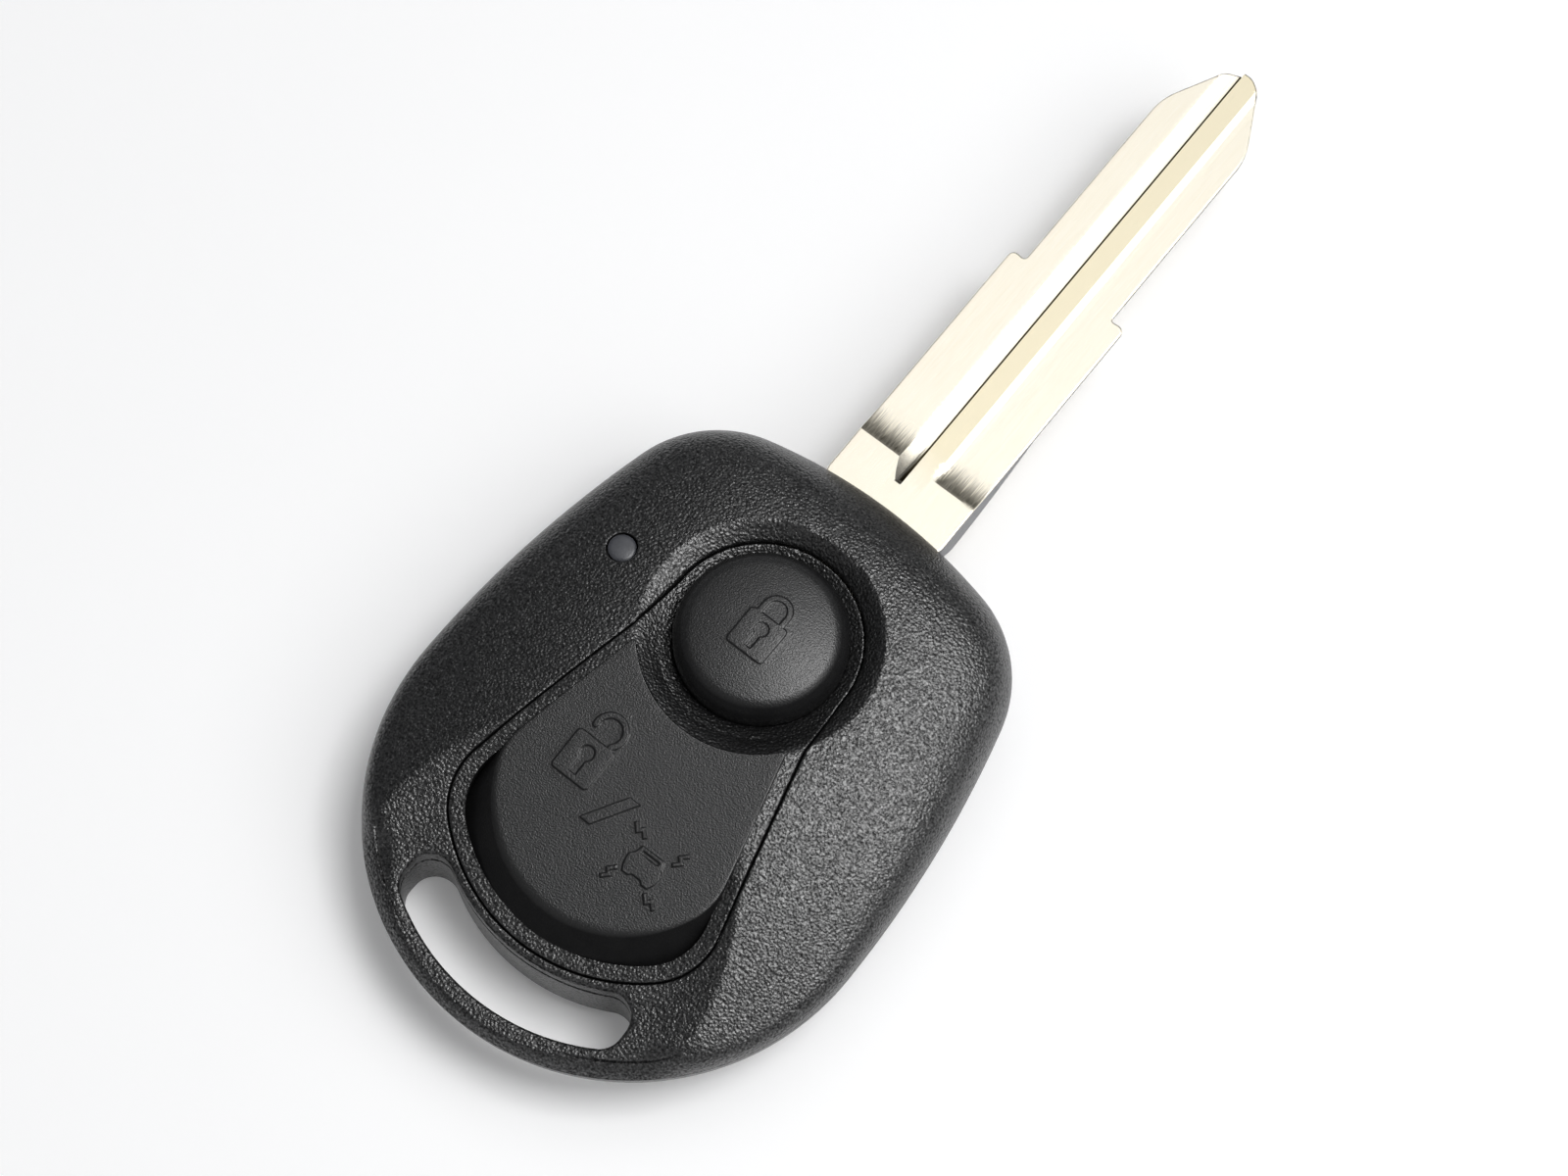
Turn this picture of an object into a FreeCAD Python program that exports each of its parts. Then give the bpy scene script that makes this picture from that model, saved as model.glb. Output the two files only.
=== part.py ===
"""Car key with a remote head: a two-button fob in two black half shells with a milled blade.

Millimetres. X runs across the head, +Y to the blade's tip and +Z up through the buttons.
The pieces are modelled with Y = 0 at the head's front edge and Z = 0 at the back, and
moved at the end so that the origin is under the middle of the whole key.
"""
import FreeCAD, Part
import math
import os

V = FreeCAD.Vector
UP = V(0, 0, 1)

# Head outline: tangent arcs, all tangent to the next
head_length = 49.2
front_radius = 42.0
shoulder_radius = 9.5
side_radius = 85.0
end_radius = 19.65

# Head section: two half shells that meet in the parting plane
lower_depth = 6.5
upper_height = 6.3
wall = 1.5
edge_width = 8.5
upper_edge_rise = 6.6
lower_edge_rise = 7.4
edge_turn = 84.0
edge_steps = 6
crown_y = -14.8
crown_long_radius = 150.0
crown_cross_radius = 55.0
back_y = -20.0
back_long_radius = 160.0
back_cross_radius = 90.0
back_flat_depth = 0.25
join_lip_height = 1.0
join_lip_width = 0.7
join_lip_gap = 0.25
join_lip_root = 1.2

# Lowered end around the keyring slot: the middle line of its floor, the crease on each side
# where the crown falls to it, and its rounded outer edge. A "back" is a distance from the
# head's end and a "side" one from its widest line
end_step_back = 20.7
end_step_z = 11.25
end_middle_back = 10.7
end_middle_z = 8.7
end_tip_back = 0.8
end_tip_z = 7.25
crease_start_side = 9.25
crease_points = ((7.35, 16.5), (6.15, 11.7))
crease_end_side = 6.45
end_rim_width = 1.1
end_rim_z = 7.55
end_rim_foot = 0.1
end_rim_bulge = 0.1

# Rubber pad: a round top, two flanks and a rounded foot
pad_radius = 7.5
dish_floor_z = 11.3
dish_slope = 0.7
pad_kink_x = 7.87
pad_kink_y = -19.7
pad_flank_slope = 0.243
pad_corner_radius = 5.2
pad_end_radius = 14.5
pad_end_back = 6.8
pad_thickness = 0.8
pad_seam = 0.12
pad_flange_width = 0.9
pad_flange_thickness = 0.5

# Buttons
button_travel = 0.5
button_gap = 0.2
button_drop_gap = 0.35
button_web = 0.5
lock_flange = 0.8
lock_radius = 6.4
lock_edge_z = 13.2
lock_crown_z = 14.0
lock_round = 0.9
unlock_rim = 1.05
unlock_draft = 0.35
unlock_end_slope = 1.0
unlock_foot_z = 8.0
unlock_web_inset = 0.8
unlock_top_y = -21.1
unlock_top_z = 12.6
unlock_slope = 0.148
unlock_arch_radius = 8.95
unlock_press_back = 12.0
stem_radius = 2.0
stem_sink = 3.0

# Keyring slot
slot_inner_offset = 0.6
slot_outer_offset = 1.9
slot_half_width = 9.9
slot_corner_radius = 1.8
slot_wall = 0.9

# Blade
blade_reach = 44.75
blade_thickness = 3.0
blade_half_width = 5.3
blade_step_y = 22.3
blade_bit_half_width = 4.03
blade_chamfer_y = 39.25
blade_nose_half_width = 1.6
blade_nose_y = 43.7
blade_corner_radius = 0.5
tang_length = 8.6
tang_half_width = 4.4
tang_shoulder_y = -1.9
cutter_radius = 14.0
flank_depth = 0.3
flank_left_x = -1.7
flank_right_x = 1.36
flank_start_y = 3.6
groove_left_x = -1.65
groove_right_x = -0.2
groove_depth = 0.8
groove_start_y = 1.86
under_cutter_radius = 21.0
under_depth = 2.0
under_inner_x = 2.2
under_start_y = 1.5
blade_fit = 0.05

# Blade seat and its pin
seat_half_width = 6.4
seat_end_y = -9.2
pin_y = -5.0
pin_radius = 1.2
pin_low_z = 2.6
pin_high_z = 9.6
pin_fit = 0.04

# Case screws, from the back beside the blade
screw_side = 7.65
screw_y = -6.9
screw_shank_radius = 0.9
screw_head_radius = 1.8
screw_head_height = 1.2
screw_seat_z = 3.0
screw_tip_z = 9.3
screw_slot_width = 0.5
screw_slot_length = 2.2
screw_slot_depth = 0.5
screw_fit = 0.05
boss_radius = 2.5

# Circuit board and what it carries
board_inset = 3.0
board_front_y = -9.9
board_back = 10.6
board_z = 4.1
board_thickness = 1.0
board_corner_radius = 1.5
post_radius = 1.1
post_side = 6.45
post_front_y = -17.5
post_back_x = 8.6
post_board_gap = 1.2
switch_width = 4.5
switch_base_height = 2.0
switch_cover = 0.2
plunger_radius = 1.2
plunger_spare = 0.1
plunger_foot_sink = 0.1
plunger_foot_height = 0.2
plunger_fit = 0.1
disc_radius = 1.7
disc_thickness = 0.12
disc_gap = 0.08
contact_gap = 0.1

# Light pipe beside the lock button
lens_side = 7.45
lens_y = -15.7
lens_radius = 1.1
lens_fit = 0.06
lens_sink = 0.25
lens_flange_radius = 1.7
lens_flange_height = 0.6
lens_mouth_radius = 1.3
lens_mouth_depth = 0.3
lens_boss_wall = 0.5
lens_boss_depth = 1.6
led_size = (1.6, 1.6, 0.7)

# Small parts on the board
chip_side = 10.45
chip_y = -24.0
chip_size = (4.4, 5.2, 1.2)
chip_legs = 4
chip_leg_pitch = 1.27
chip_leg_width = 0.4
chip_leg_reach = 0.6
chip_lift = 0.15
saw_x = 8.4
saw_board_gap = 5.0
saw_size = (5.0, 3.6, 1.3)
saw_corner_radius = 0.5
crystal_x = -6.6
crystal_y = -23.0
crystal_width = 3.2
crystal_length = 6.5
crystal_height = 1.6
crystal_corner_radius = 1.4
capacitor_size = (1.0, 1.8, 0.8)
resistor_size = (0.9, 1.6, 0.5)
row_pitch = 2.2
row_count = 4
capacitor_x = 3.9
capacitor_y = -18.6
resistor_x = -10.4
resistor_board_gap = 4.0
antenna_left_x = 8.4
antenna_end_gap = 2.0
antenna_margin = 0.4
antenna_width = 0.8
antenna_height = 0.1

# Coin cell, its contacts and the transponder
cell_press_gap = 2.8
cell_radius = 10.0
cell_height = 1.6
cell_edge_radius = 0.4
cell_lip_radius = 8.9
cell_lip_height = 0.25
cell_gap = 0.35
pocket_z = 1.45
contact_thickness = 0.25
contact_width = 4.0
transponder_size = (3.4, 11.0, 2.8)
transponder_gap = 0.7
transponder_side = 6.25
transponder_lens_gap = 10.3
transponder_z = 2.9

# Worked out from the sizes above
join_z = lower_depth
crown_z = join_z + upper_height
blade_low_z = join_z - blade_thickness / 2
blade_high_z = join_z + blade_thickness / 2
end_centre_y = -head_length + end_radius
end_step_y = end_step_back - head_length
end_middle_y = end_middle_back - head_length
end_tip_y = end_tip_back - head_length
pad_end_y = pad_end_back - head_length
pad_end_centre_y = pad_end_y + pad_end_radius
unlock_press_y = pad_end_y + unlock_press_back
screw_x = end_radius - screw_side
lens_x = lens_side - end_radius
board_back_y = board_back - head_length
post_x = end_radius - post_side
post_back_y = board_back_y + post_board_gap
chip_x = end_radius - chip_side
saw_y = board_back_y + saw_board_gap
resistor_y = board_back_y + resistor_board_gap
cell_y = unlock_press_y + cell_press_gap
transponder_x = transponder_side - end_radius
transponder_y = lens_y - transponder_lens_gap
board_top_z = board_z + board_thickness
switch_top_z = board_top_z + switch_base_height
switch_recess = plunger_foot_sink + plunger_foot_height + button_travel + disc_gap + disc_thickness
plunger_top_z = switch_top_z + switch_cover + button_travel + plunger_spare
cell_z = pocket_z + contact_thickness
over = 2.0
sky = 30.0


def arc(a, b, c):
    return Part.Arc(a, b, c).toShape()


def line(a, b):
    return Part.makeLine(a, b)


def prism(wire, low, high):
    """Solid column over a flat closed wire drawn at Z = 0."""
    face = Part.Face(wire)
    face.translate(V(0, 0, low))
    return face.extrude(V(0, 0, high - low))


def block(x0, x1, y0, y1, z0, z1):
    return Part.makeBox(x1 - x0, y1 - y0, z1 - z0, V(x0, y0, z0))


def column(radius, x, y, low, high):
    return Part.makeCylinder(radius, high - low, V(x, y, low), UP)


def circle_meet(centre_a, radius_a, centre_b, radius_b):
    """Point on the right where two circles in the XY plane cross, the upper one in Y."""
    gap = centre_b - centre_a
    far = gap.Length
    along = (radius_a ** 2 - radius_b ** 2 + far ** 2) / (2 * far)
    across = math.sqrt(radius_a ** 2 - along ** 2)
    unit = gap * (1 / far)
    side = V(-unit.y, unit.x, 0)
    both = [centre_a + unit * along + side * s for s in (across, -across)]
    return max(both, key=lambda p: p.y)


def head_wire(inset, z=0.0):
    """Outline of the head at height z, drawn in by inset all round."""
    front = V(0, -front_radius, z)
    end = V(0, end_centre_y, z)
    flank = V(end_radius - side_radius, end_centre_y, z)
    corner = circle_meet(flank, side_radius - shoulder_radius, front, front_radius - shoulder_radius)
    to_flank = (corner - flank).normalize()
    to_front = (corner - front).normalize()
    low = end + V(end_radius - inset, 0, 0)
    high = corner + to_flank * (shoulder_radius - inset)
    top = corner + to_front * (shoulder_radius - inset)
    side_mid = flank + (V(1, 0, 0) + to_flank).normalize() * (side_radius - inset)
    corner_mid = corner + (to_flank + to_front).normalize() * (shoulder_radius - inset)
    front_mid = V(0, -inset, z)
    end_mid = end + V(0, inset - end_radius, 0)

    def left(p):
        return V(-p.x, p.y, p.z)

    edges = [arc(low, side_mid, high), arc(high, corner_mid, top), arc(top, front_mid, left(top)),
             arc(left(top), left(corner_mid), left(high)), arc(left(high), left(side_mid), left(low)),
             arc(left(low), end_mid, low)]
    return Part.Wire(edges)


def barrel(y_mid, z_mid, long_radius, cross_radius, side):
    """Solid of revolution about a Y axis, whose crown touches z_mid; side is 1 up, -1 down."""
    axis_z = z_mid - side * cross_radius
    reach = head_length
    sag = long_radius - math.sqrt(long_radius ** 2 - reach ** 2)
    far_z = axis_z - side * cross_radius
    ends = [V(0, y_mid + s * reach, far_z + side * sag) for s in (-1, 1)]
    feet = [V(0, p.y, axis_z) for p in ends]
    edges = [arc(ends[0], V(0, y_mid, far_z), ends[1]), line(ends[1], feet[1]),
             line(feet[1], feet[0]), line(feet[0], ends[0])]
    return Part.Face(Part.Wire(edges)).revolve(V(0, 0, axis_z), V(0, 1, 0), 360)


def edge_loft(inset, rise, side):
    """Head column whose sides round over to the crown; side is 1 up, -1 down."""
    wires = []
    for k in range(edge_steps + 1):
        t = math.radians(edge_turn * k / edge_steps)
        drawn_in = inset + (edge_width - inset) * (1 - math.cos(t))
        wires.append(head_wire(drawn_in, join_z + side * (rise - inset) * math.sin(t)))
    return Part.makeLoft(wires, True, False)


def upper_form(inset):
    """Upper half of the head, inset by a wall thickness all round."""
    dome = barrel(crown_y, crown_z - inset, crown_long_radius, crown_cross_radius, 1)
    return edge_loft(inset, upper_edge_rise, 1).common(dome)


def lower_form(inset):
    """Lower half of the head, inset by a wall thickness all round."""
    dome = barrel(back_y, inset - back_flat_depth, back_long_radius, back_cross_radius, -1)
    return edge_loft(inset, lower_edge_rise, -1).common(dome)


def end_step(drop):
    """What the lowered end removes above its gently hollow floor."""
    centre = V(0, end_centre_y, 0)
    rim_radius = end_radius - end_rim_width
    corner_x = end_radius - crease_end_side
    corner = V(corner_x, end_centre_y - math.sqrt(rim_radius ** 2 - corner_x ** 2), 0)
    outside = centre + (corner - centre).normalize() * (end_radius + over)
    start = V(end_radius - crease_start_side, end_step_y, 0)
    curve = Part.BSplineCurve()
    between = [V(end_radius - side, back - head_length, 0) for side, back in crease_points]
    curve.interpolate([start] + between + [corner])
    right = curve.toShape()
    left = right.mirror(V(0, 0, 0), V(1, 0, 0))
    plan = Part.Wire([right, line(corner, outside),
                      arc(outside, centre - V(0, end_radius + over, 0), V(-outside.x, outside.y, 0)),
                      line(V(-outside.x, outside.y, 0), V(-corner.x, corner.y, 0)), left,
                      line(V(-start.x, start.y, 0), start)])
    low, middle, tip = (V(0, y, z - drop) for y, z in
                        ((end_step_y, end_step_z), (end_middle_y, end_middle_z), (end_tip_y, end_tip_z)))
    fall = (tip.z - middle.z) / (tip.y - middle.y)
    run_out = V(0, -head_length - 2 * over, tip.z + fall * (-head_length - 2 * over - tip.y))
    lid = [V(0, run_out.y, sky), V(0, start.y + over, sky), V(0, start.y + over, low.z)]
    profile = Part.Wire([line(lid[2], low), arc(low, middle, tip), line(tip, run_out), line(run_out, lid[0]),
                         line(lid[0], lid[1]), line(lid[1], lid[2])])
    above = Part.Face(profile).extrude(V(2 * head_length, 0, 0))
    above.translate(V(-head_length, 0, 0))
    return prism(plan, 0, sky).common(above.fuse(end_edge(drop)))


def end_edge(drop):
    """What the floor's rounded outer edge removes, turned about the middle of the end."""
    crease = V(end_radius - end_rim_width - drop, end_centre_y, end_rim_z - drop)
    foot = V(end_radius - drop, end_centre_y, join_z + end_rim_foot - drop)
    fall = foot - crease
    bulge = V(-fall.z, 0, fall.x).normalize() * end_rim_bulge
    inner = crease - fall * (end_rim_width / fall.x)
    outer = foot + V(2 * over, 0, 0)
    lid = [V(outer.x, outer.y, sky), V(inner.x, inner.y, sky)]
    profile = Part.Wire([arc(crease, crease + fall * 0.5 + bulge, foot), line(foot, outer),
                         line(outer, lid[0]), line(lid[0], lid[1]), line(lid[1], inner), line(inner, crease)])
    return Part.Face(profile).revolve(V(0, end_centre_y, 0), UP, -180)


def dish():
    """Cone round the lock button that bevels the shell and the pad alike."""
    rise = 4.0
    return Part.makeCone(pad_radius, pad_radius + rise / dish_slope, rise, V(0, crown_y, dish_floor_z), UP)


def pad_wire():
    """Outline of the rubber pad, where it meets the shell."""
    kink = V(pad_kink_x, pad_kink_y, 0)
    along = V(pad_flank_slope, -1, 0).normalize()
    outward = V(-along.y, along.x, 0)
    end_centre = V(0, pad_end_centre_y, 0)
    base = kink - outward * pad_corner_radius
    offset = base - end_centre
    reach = pad_end_radius - pad_corner_radius
    b = offset.dot(along)
    run = -b + math.sqrt(b * b - offset.dot(offset) + reach * reach)
    corner = base + along * run
    out = (corner - end_centre).normalize()
    flank_foot = corner + outward * pad_corner_radius
    corner_mid = corner + (outward + out).normalize() * pad_corner_radius
    corner_end = corner + out * pad_corner_radius
    shoulder = V(pad_radius, crown_y, 0)
    right = [shoulder, kink, flank_foot, corner_mid, corner_end]
    left = [V(-p.x, p.y, 0) for p in right]
    edges = [arc(left[0], V(0, crown_y + pad_radius, 0), right[0]), line(right[0], right[1]),
             line(right[1], right[2]), arc(right[2], right[3], right[4]),
             arc(right[4], V(0, pad_end_y, 0), left[4]), arc(left[4], left[3], left[2]),
             line(left[2], left[1]), line(left[1], left[0])]
    return Part.Wire(edges)


def pad_offset(distance):
    if distance == 0:
        return pad_wire()
    return pad_wire().makeOffset2D(distance, 2)


def slot_prism(grow, low, high):
    """Column through the curved keyring slot, grown by a wall on all sides."""
    inner = column(pad_end_radius + slot_inner_offset - grow, 0, pad_end_centre_y, low, high)
    outer = column(end_radius - slot_outer_offset + grow, 0, end_centre_y, low, high)
    half = slot_half_width + grow
    band = outer.common(block(-half, half, -head_length, end_centre_y, low, high)).cut(inner)
    upright = [e for e in band.Edges if abs(e.tangentAt(e.FirstParameter).z) > 0.99]
    return band.makeFillet(slot_corner_radius + grow, upright)


def blade_wire():
    half = blade_half_width
    bit = blade_bit_half_width
    r = blade_corner_radius
    right = [V(half, 0, 0), V(half, blade_step_y - r, 0), V(half - r, blade_step_y, 0),
             V(bit, blade_step_y, 0), V(bit, blade_chamfer_y, 0), V(blade_nose_half_width, blade_nose_y, 0)]
    tang = [V(tang_half_width, -tang_length, 0), V(tang_half_width, tang_shoulder_y, 0),
            V(half, tang_shoulder_y, 0)]
    left = [V(-p.x, p.y, 0) for p in right]
    bend = r * (1 - math.sqrt(0.5))

    def corner(side):
        return V(side * (half - bend), blade_step_y - bend, 0)

    edges = [line(tang[0], tang[1]), line(tang[1], tang[2]), line(tang[2], right[1]),
             arc(right[1], corner(1), right[2]), line(right[2], right[3]), line(right[3], right[4]),
             line(right[4], right[5]), arc(right[5], V(0, blade_reach, 0), left[5]),
             line(left[5], left[4]), line(left[4], left[3]), line(left[3], left[2]),
             arc(left[2], corner(-1), left[1]), line(left[1], V(-half, tang_shoulder_y, 0)),
             line(V(-half, tang_shoulder_y, 0), V(-tang_half_width, tang_shoulder_y, 0)),
             line(V(-tang_half_width, tang_shoulder_y, 0), V(-tang_half_width, -tang_length, 0)),
             line(V(-tang_half_width, -tang_length, 0), tang[0])]
    return Part.Wire(edges)


def mill(x0, x1, start_y, depth, radius, side):
    """Straight cut along the blade with the cutter's round run-out; side is 1 on top."""
    face_z = blade_high_z if side > 0 else blade_low_z
    run = math.sqrt(radius ** 2 - (radius - depth) ** 2)
    floor_z = face_z - side * depth
    centre = V(x0, start_y + run, floor_z + side * radius)
    wheel = Part.makeCylinder(radius, x1 - x0, centre, V(1, 0, 0))
    low, high = sorted((floor_z, face_z + side * over))
    return wheel.fuse(block(x0, x1, start_y + run, blade_reach + over, low, high))


def flank_cut(x0, x1, start_y, depth, radius, side):
    cut = mill(x0, x1, start_y, depth, radius, side)
    return cut.common(block(x0, x1, 0, blade_reach + over, blade_low_z - over, blade_high_z + over))


def blade():
    body = prism(blade_wire(), blade_low_z, blade_high_z)
    wide = blade_half_width + 1
    body = body.cut(flank_cut(-wide, flank_left_x, flank_start_y, flank_depth, cutter_radius, 1))
    body = body.cut(flank_cut(flank_right_x, wide, flank_start_y, flank_depth, cutter_radius, 1))
    body = body.cut(flank_cut(groove_left_x, groove_right_x, groove_start_y, groove_depth, cutter_radius, 1))
    body = body.cut(flank_cut(under_inner_x, wide, under_start_y, under_depth, under_cutter_radius, -1))
    body = body.cut(flank_cut(groove_left_x, groove_right_x, groove_start_y, groove_depth, cutter_radius, -1))
    return body.cut(column(pin_radius + pin_fit, 0, pin_y, 0, sky))


def blade_room():
    """Blade and tang with the fit that the seat leaves round them."""
    half = blade_half_width + blade_fit
    tang = tang_half_width + blade_fit
    low = blade_low_z - blade_fit
    high = blade_high_z + blade_fit
    neck = block(-half, half, tang_shoulder_y - blade_fit, over, low, high)
    return neck.fuse(block(-tang, tang, -tang_length - blade_fit, 0, low, high))


def screw_columns(radius, low, high):
    right = column(radius, screw_x, screw_y, low, high)
    return right.fuse(column(radius, -screw_x, screw_y, low, high))


def seat_block(low, high):
    return block(-seat_half_width, seat_half_width, seat_end_y, over, low, high)


def lens_column(radius, low, high):
    return column(radius, lens_x, lens_y, low, high)


def upper_shell():
    form = head_top
    room = upper_form(wall).cut(end_step(wall)).cut(slot_prism(slot_wall, 0, sky))
    shell = form.cut(room)
    inner = [seat_block(join_z, sky), screw_columns(boss_radius, join_z, sky),
             lens_column(lens_flange_radius + lens_boss_wall, lens_flange_z() - lens_boss_depth, sky)]
    for piece in inner:
        shell = shell.fuse(piece.common(form))
    lens_top = lens_surface_z()
    shell = shell.cut(prism(pad_offset(0), join_z - over, sky))
    flange_room = prism(pad_offset(pad_flange_width + pad_seam), join_z - over, sky)
    flange_room = flange_room.cut(slot_prism(slot_inner_offset, 0, sky))
    shell = shell.cut(flange_room.common(shifted(form, -pad_thickness)))
    shell = shell.cut(slot_prism(0, 0, sky)).cut(blade_room())
    shell = shell.cut(column(pin_radius + pin_fit, 0, pin_y, 0, pin_high_z + pin_fit))
    shell = shell.cut(screw_columns(screw_shank_radius + screw_fit, 0, screw_tip_z + screw_fit))
    shell = shell.cut(lens_column(lens_radius + lens_fit, 0, sky))
    shell = shell.cut(lens_column(lens_mouth_radius, lens_top - lens_mouth_depth, sky))
    flange_top = lens_flange_z() + lens_flange_height + lens_fit
    return shell.cut(lens_column(lens_flange_radius + lens_fit, 0, flange_top)).removeSplitter()


def shifted(shape, dz):
    moved = shape.copy()
    moved.translate(V(0, 0, dz))
    return moved


def lens_surface_z():
    cross = crown_cross_radius - math.sqrt(crown_cross_radius ** 2 - lens_x ** 2)
    long = crown_long_radius - math.sqrt(crown_long_radius ** 2 - (lens_y - crown_y) ** 2)
    return crown_z - cross - long


def lens_flange_z():
    return lens_surface_z() - wall - lens_flange_height


def join_lip():
    """Tongue of the lower shell that stands inside the upper one."""
    outer = wall + join_lip_gap
    inner = outer + join_lip_width
    seat = seat_half_width + join_lip_gap
    band = block(-end_radius, end_radius, -head_length, 0, join_z, join_z + join_lip_height)
    lip = upper_form(outer).cut(end_step(outer)).common(band)
    lip = lip.cut(slot_prism(slot_wall + join_lip_gap, join_z, sky))
    lip = lip.cut(block(-seat, seat, -wall * 3, over, join_z, sky))
    root = prism(head_wire(wall / 2), join_z - join_lip_root, join_z)
    return lip.fuse(root).cut(prism(head_wire(inner), 0, sky))


def lower_shell():
    form = lower_form(0).common(block(-head_length, head_length, -head_length - over, over, 0, sky))
    room = lower_form(wall).cut(slot_prism(slot_wall, 0, sky))
    shell = form.cut(room)
    for piece in [seat_block(0, join_z), screw_columns(boss_radius, 0, join_z)]:
        shell = shell.fuse(piece.common(form))
    for side in (-1, 1):
        for x, y in ((post_x, post_front_y), (post_back_x, post_back_y)):
            shell = shell.fuse(column(post_radius, side * x, y, 0, board_z).common(form))
    shell = shell.fuse(join_lip())
    clear = wall + join_lip_gap
    shell = shell.cut(screw_columns(boss_radius + join_lip_gap, join_z, sky))
    shell = shell.cut(column(cell_radius + cell_gap, 0, cell_y, pocket_z, join_z + clear))
    shell = shell.cut(slot_prism(0, -over, sky)).cut(blade_room())
    shell = shell.cut(column(pin_radius + pin_fit, 0, pin_y, pin_low_z - pin_fit, sky))
    shell = shell.cut(screw_columns(screw_shank_radius + screw_fit, -over, sky))
    head = screw_head_radius + screw_fit
    return shell.cut(screw_columns(head, -over, screw_seat_z)).removeSplitter()


def pad_layer():
    """Thin layer that follows the head's top, as the pad does."""
    return head_top.cut(shifted(head_top, -pad_thickness))


def unlock_foot(extra):
    return prism(pad_offset(-unlock_rim + extra), 0, sky).cut(
        column(unlock_arch_radius - extra, 0, crown_y, 0, sky))


def button_pad():
    layer = pad_layer()
    rim = layer.common(prism(pad_offset(-pad_seam), 0, sky))
    skirt_top = shifted(head_top, -pad_thickness)
    skirt = skirt_top.cut(shifted(skirt_top, -pad_flange_thickness))
    skirt = skirt.common(prism(pad_offset(pad_flange_width), join_z, sky))
    skirt = skirt.cut(slot_prism(slot_inner_offset + pad_seam, 0, sky))
    pad = rim.fuse(skirt)
    pad = pad.cut(column(lock_radius + button_gap, 0, crown_y, 0, sky))
    return pad.cut(unlock_foot(button_gap)).removeSplitter()


def lock_button():
    cap = column(lock_radius, 0, crown_y, 0, lock_crown_z)
    rise = lock_crown_z - lock_edge_z
    ball = (lock_radius ** 2 + rise ** 2) / (2 * rise)
    cap = cap.common(Part.makeSphere(ball, V(0, crown_y, lock_crown_z - ball)))
    rim = [e for e in cap.Edges if e.BoundBox.ZMin > lock_edge_z / 2 and e.Length > lock_radius]
    cap = cap.makeFillet(lock_round, rim)
    web_top = dish_floor_z - pad_thickness - pad_flange_thickness - button_drop_gap
    cap = cap.common(block(-head_length, head_length, -head_length, 0, web_top, sky))
    flange = column(lock_radius + lock_flange, 0, crown_y, web_top - button_web, web_top)
    stem = column(stem_radius, 0, crown_y, plunger_top_z + contact_gap, web_top)
    return cap.fuse([flange, stem]).removeSplitter()


def unlock_button():
    """Large button: drafted flanks, a long sloping foot and a flat tilted face."""
    low = join_z
    inset = unlock_rim + button_gap
    cap = Part.makeLoft([shifted(pad_offset(-inset), low),
                         shifted(pad_offset(-inset - unlock_draft), unlock_top_z + 1)], True, True)
    foot_radius = pad_end_radius - inset
    cone = Part.makeCone(foot_radius, 0, foot_radius / unlock_end_slope,
                         V(0, pad_end_centre_y, unlock_foot_z), UP)
    cone = cone.fuse(column(head_length, 0, pad_end_centre_y, low - over, unlock_foot_z))
    reach = head_length / 2
    far = [V(0, unlock_top_y + s, unlock_top_z + s * unlock_slope) for s in (-reach, reach)]
    feet = [V(0, p.y, low - over) for p in far]
    tilt = Part.Face(Part.makePolygon([far[0], far[1], feet[1], feet[0], far[0]]))
    tilt = tilt.extrude(V(2 * head_length, 0, 0))
    tilt.translate(V(-head_length, 0, 0))
    cap = cap.common(cone).common(tilt)
    cap = cap.cut(column(unlock_arch_radius + button_gap, 0, crown_y, 0, sky))
    below = shifted(head_top, -pad_thickness - pad_flange_thickness - button_drop_gap)
    core = cap.cut(below)
    web = below.cut(shifted(below, -button_web))
    web = web.common(prism(pad_offset(-unlock_web_inset), 0, sky))
    web = web.cut(column(unlock_arch_radius - lock_flange / 2, 0, crown_y, 0, sky))
    stem = column(stem_radius, 0, unlock_press_y, plunger_top_z + contact_gap, unlock_top_z - stem_sink)
    return core.fuse([web, stem]).removeSplitter()


def led_lens():
    low = lens_flange_z()
    pipe = lens_column(lens_radius, board_top_z + led_size[2] + contact_gap, lens_surface_z() - lens_sink)
    return pipe.fuse(lens_column(lens_flange_radius, low, low + lens_flange_height)).removeSplitter()


def circuit_board():
    plate = prism(head_wire(board_inset), board_z, board_top_z)
    plate = plate.common(block(-head_length, head_length, board_back_y, board_front_y, 0, sky))
    x, y, z = transponder_size
    notch_y = y / 2 + transponder_gap
    plate = plate.cut(block(-head_length, transponder_x + x / 2 + transponder_gap,
                            transponder_y - notch_y, transponder_y + notch_y, 0, sky))
    upright = [e for e in plate.Edges if e.BoundBox.ZLength > board_thickness * 0.9]
    return plate.makeFillet(board_corner_radius, upright)


def switch_base(y):
    half = switch_width / 2
    body = block(-half, half, y - half, y + half, board_top_z, switch_top_z)
    return body.cut(column(disc_radius + plunger_fit, 0, y, switch_top_z - switch_recess, switch_top_z))


def switch_lid(y):
    half = switch_width / 2
    lid = block(-half, half, y - half, y + half, switch_top_z, switch_top_z + switch_cover)
    return lid.cut(column(plunger_radius + plunger_fit, 0, y, switch_top_z, switch_top_z + switch_cover))


def plunger(y):
    foot_high = switch_top_z - plunger_foot_sink
    foot = column(disc_radius, 0, y, foot_high - plunger_foot_height, foot_high)
    return foot.fuse(column(plunger_radius, 0, y, foot_high, plunger_top_z)).removeSplitter()


def snap_disc(y):
    low = switch_top_z - switch_recess
    return column(disc_radius, 0, y, low, low + disc_thickness)


def chip(x, y, size, lift=0.0):
    low = board_top_z + lift
    return block(x - size[0] / 2, x + size[0] / 2, y - size[1] / 2, y + size[1] / 2, low, low + size[2])


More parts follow.
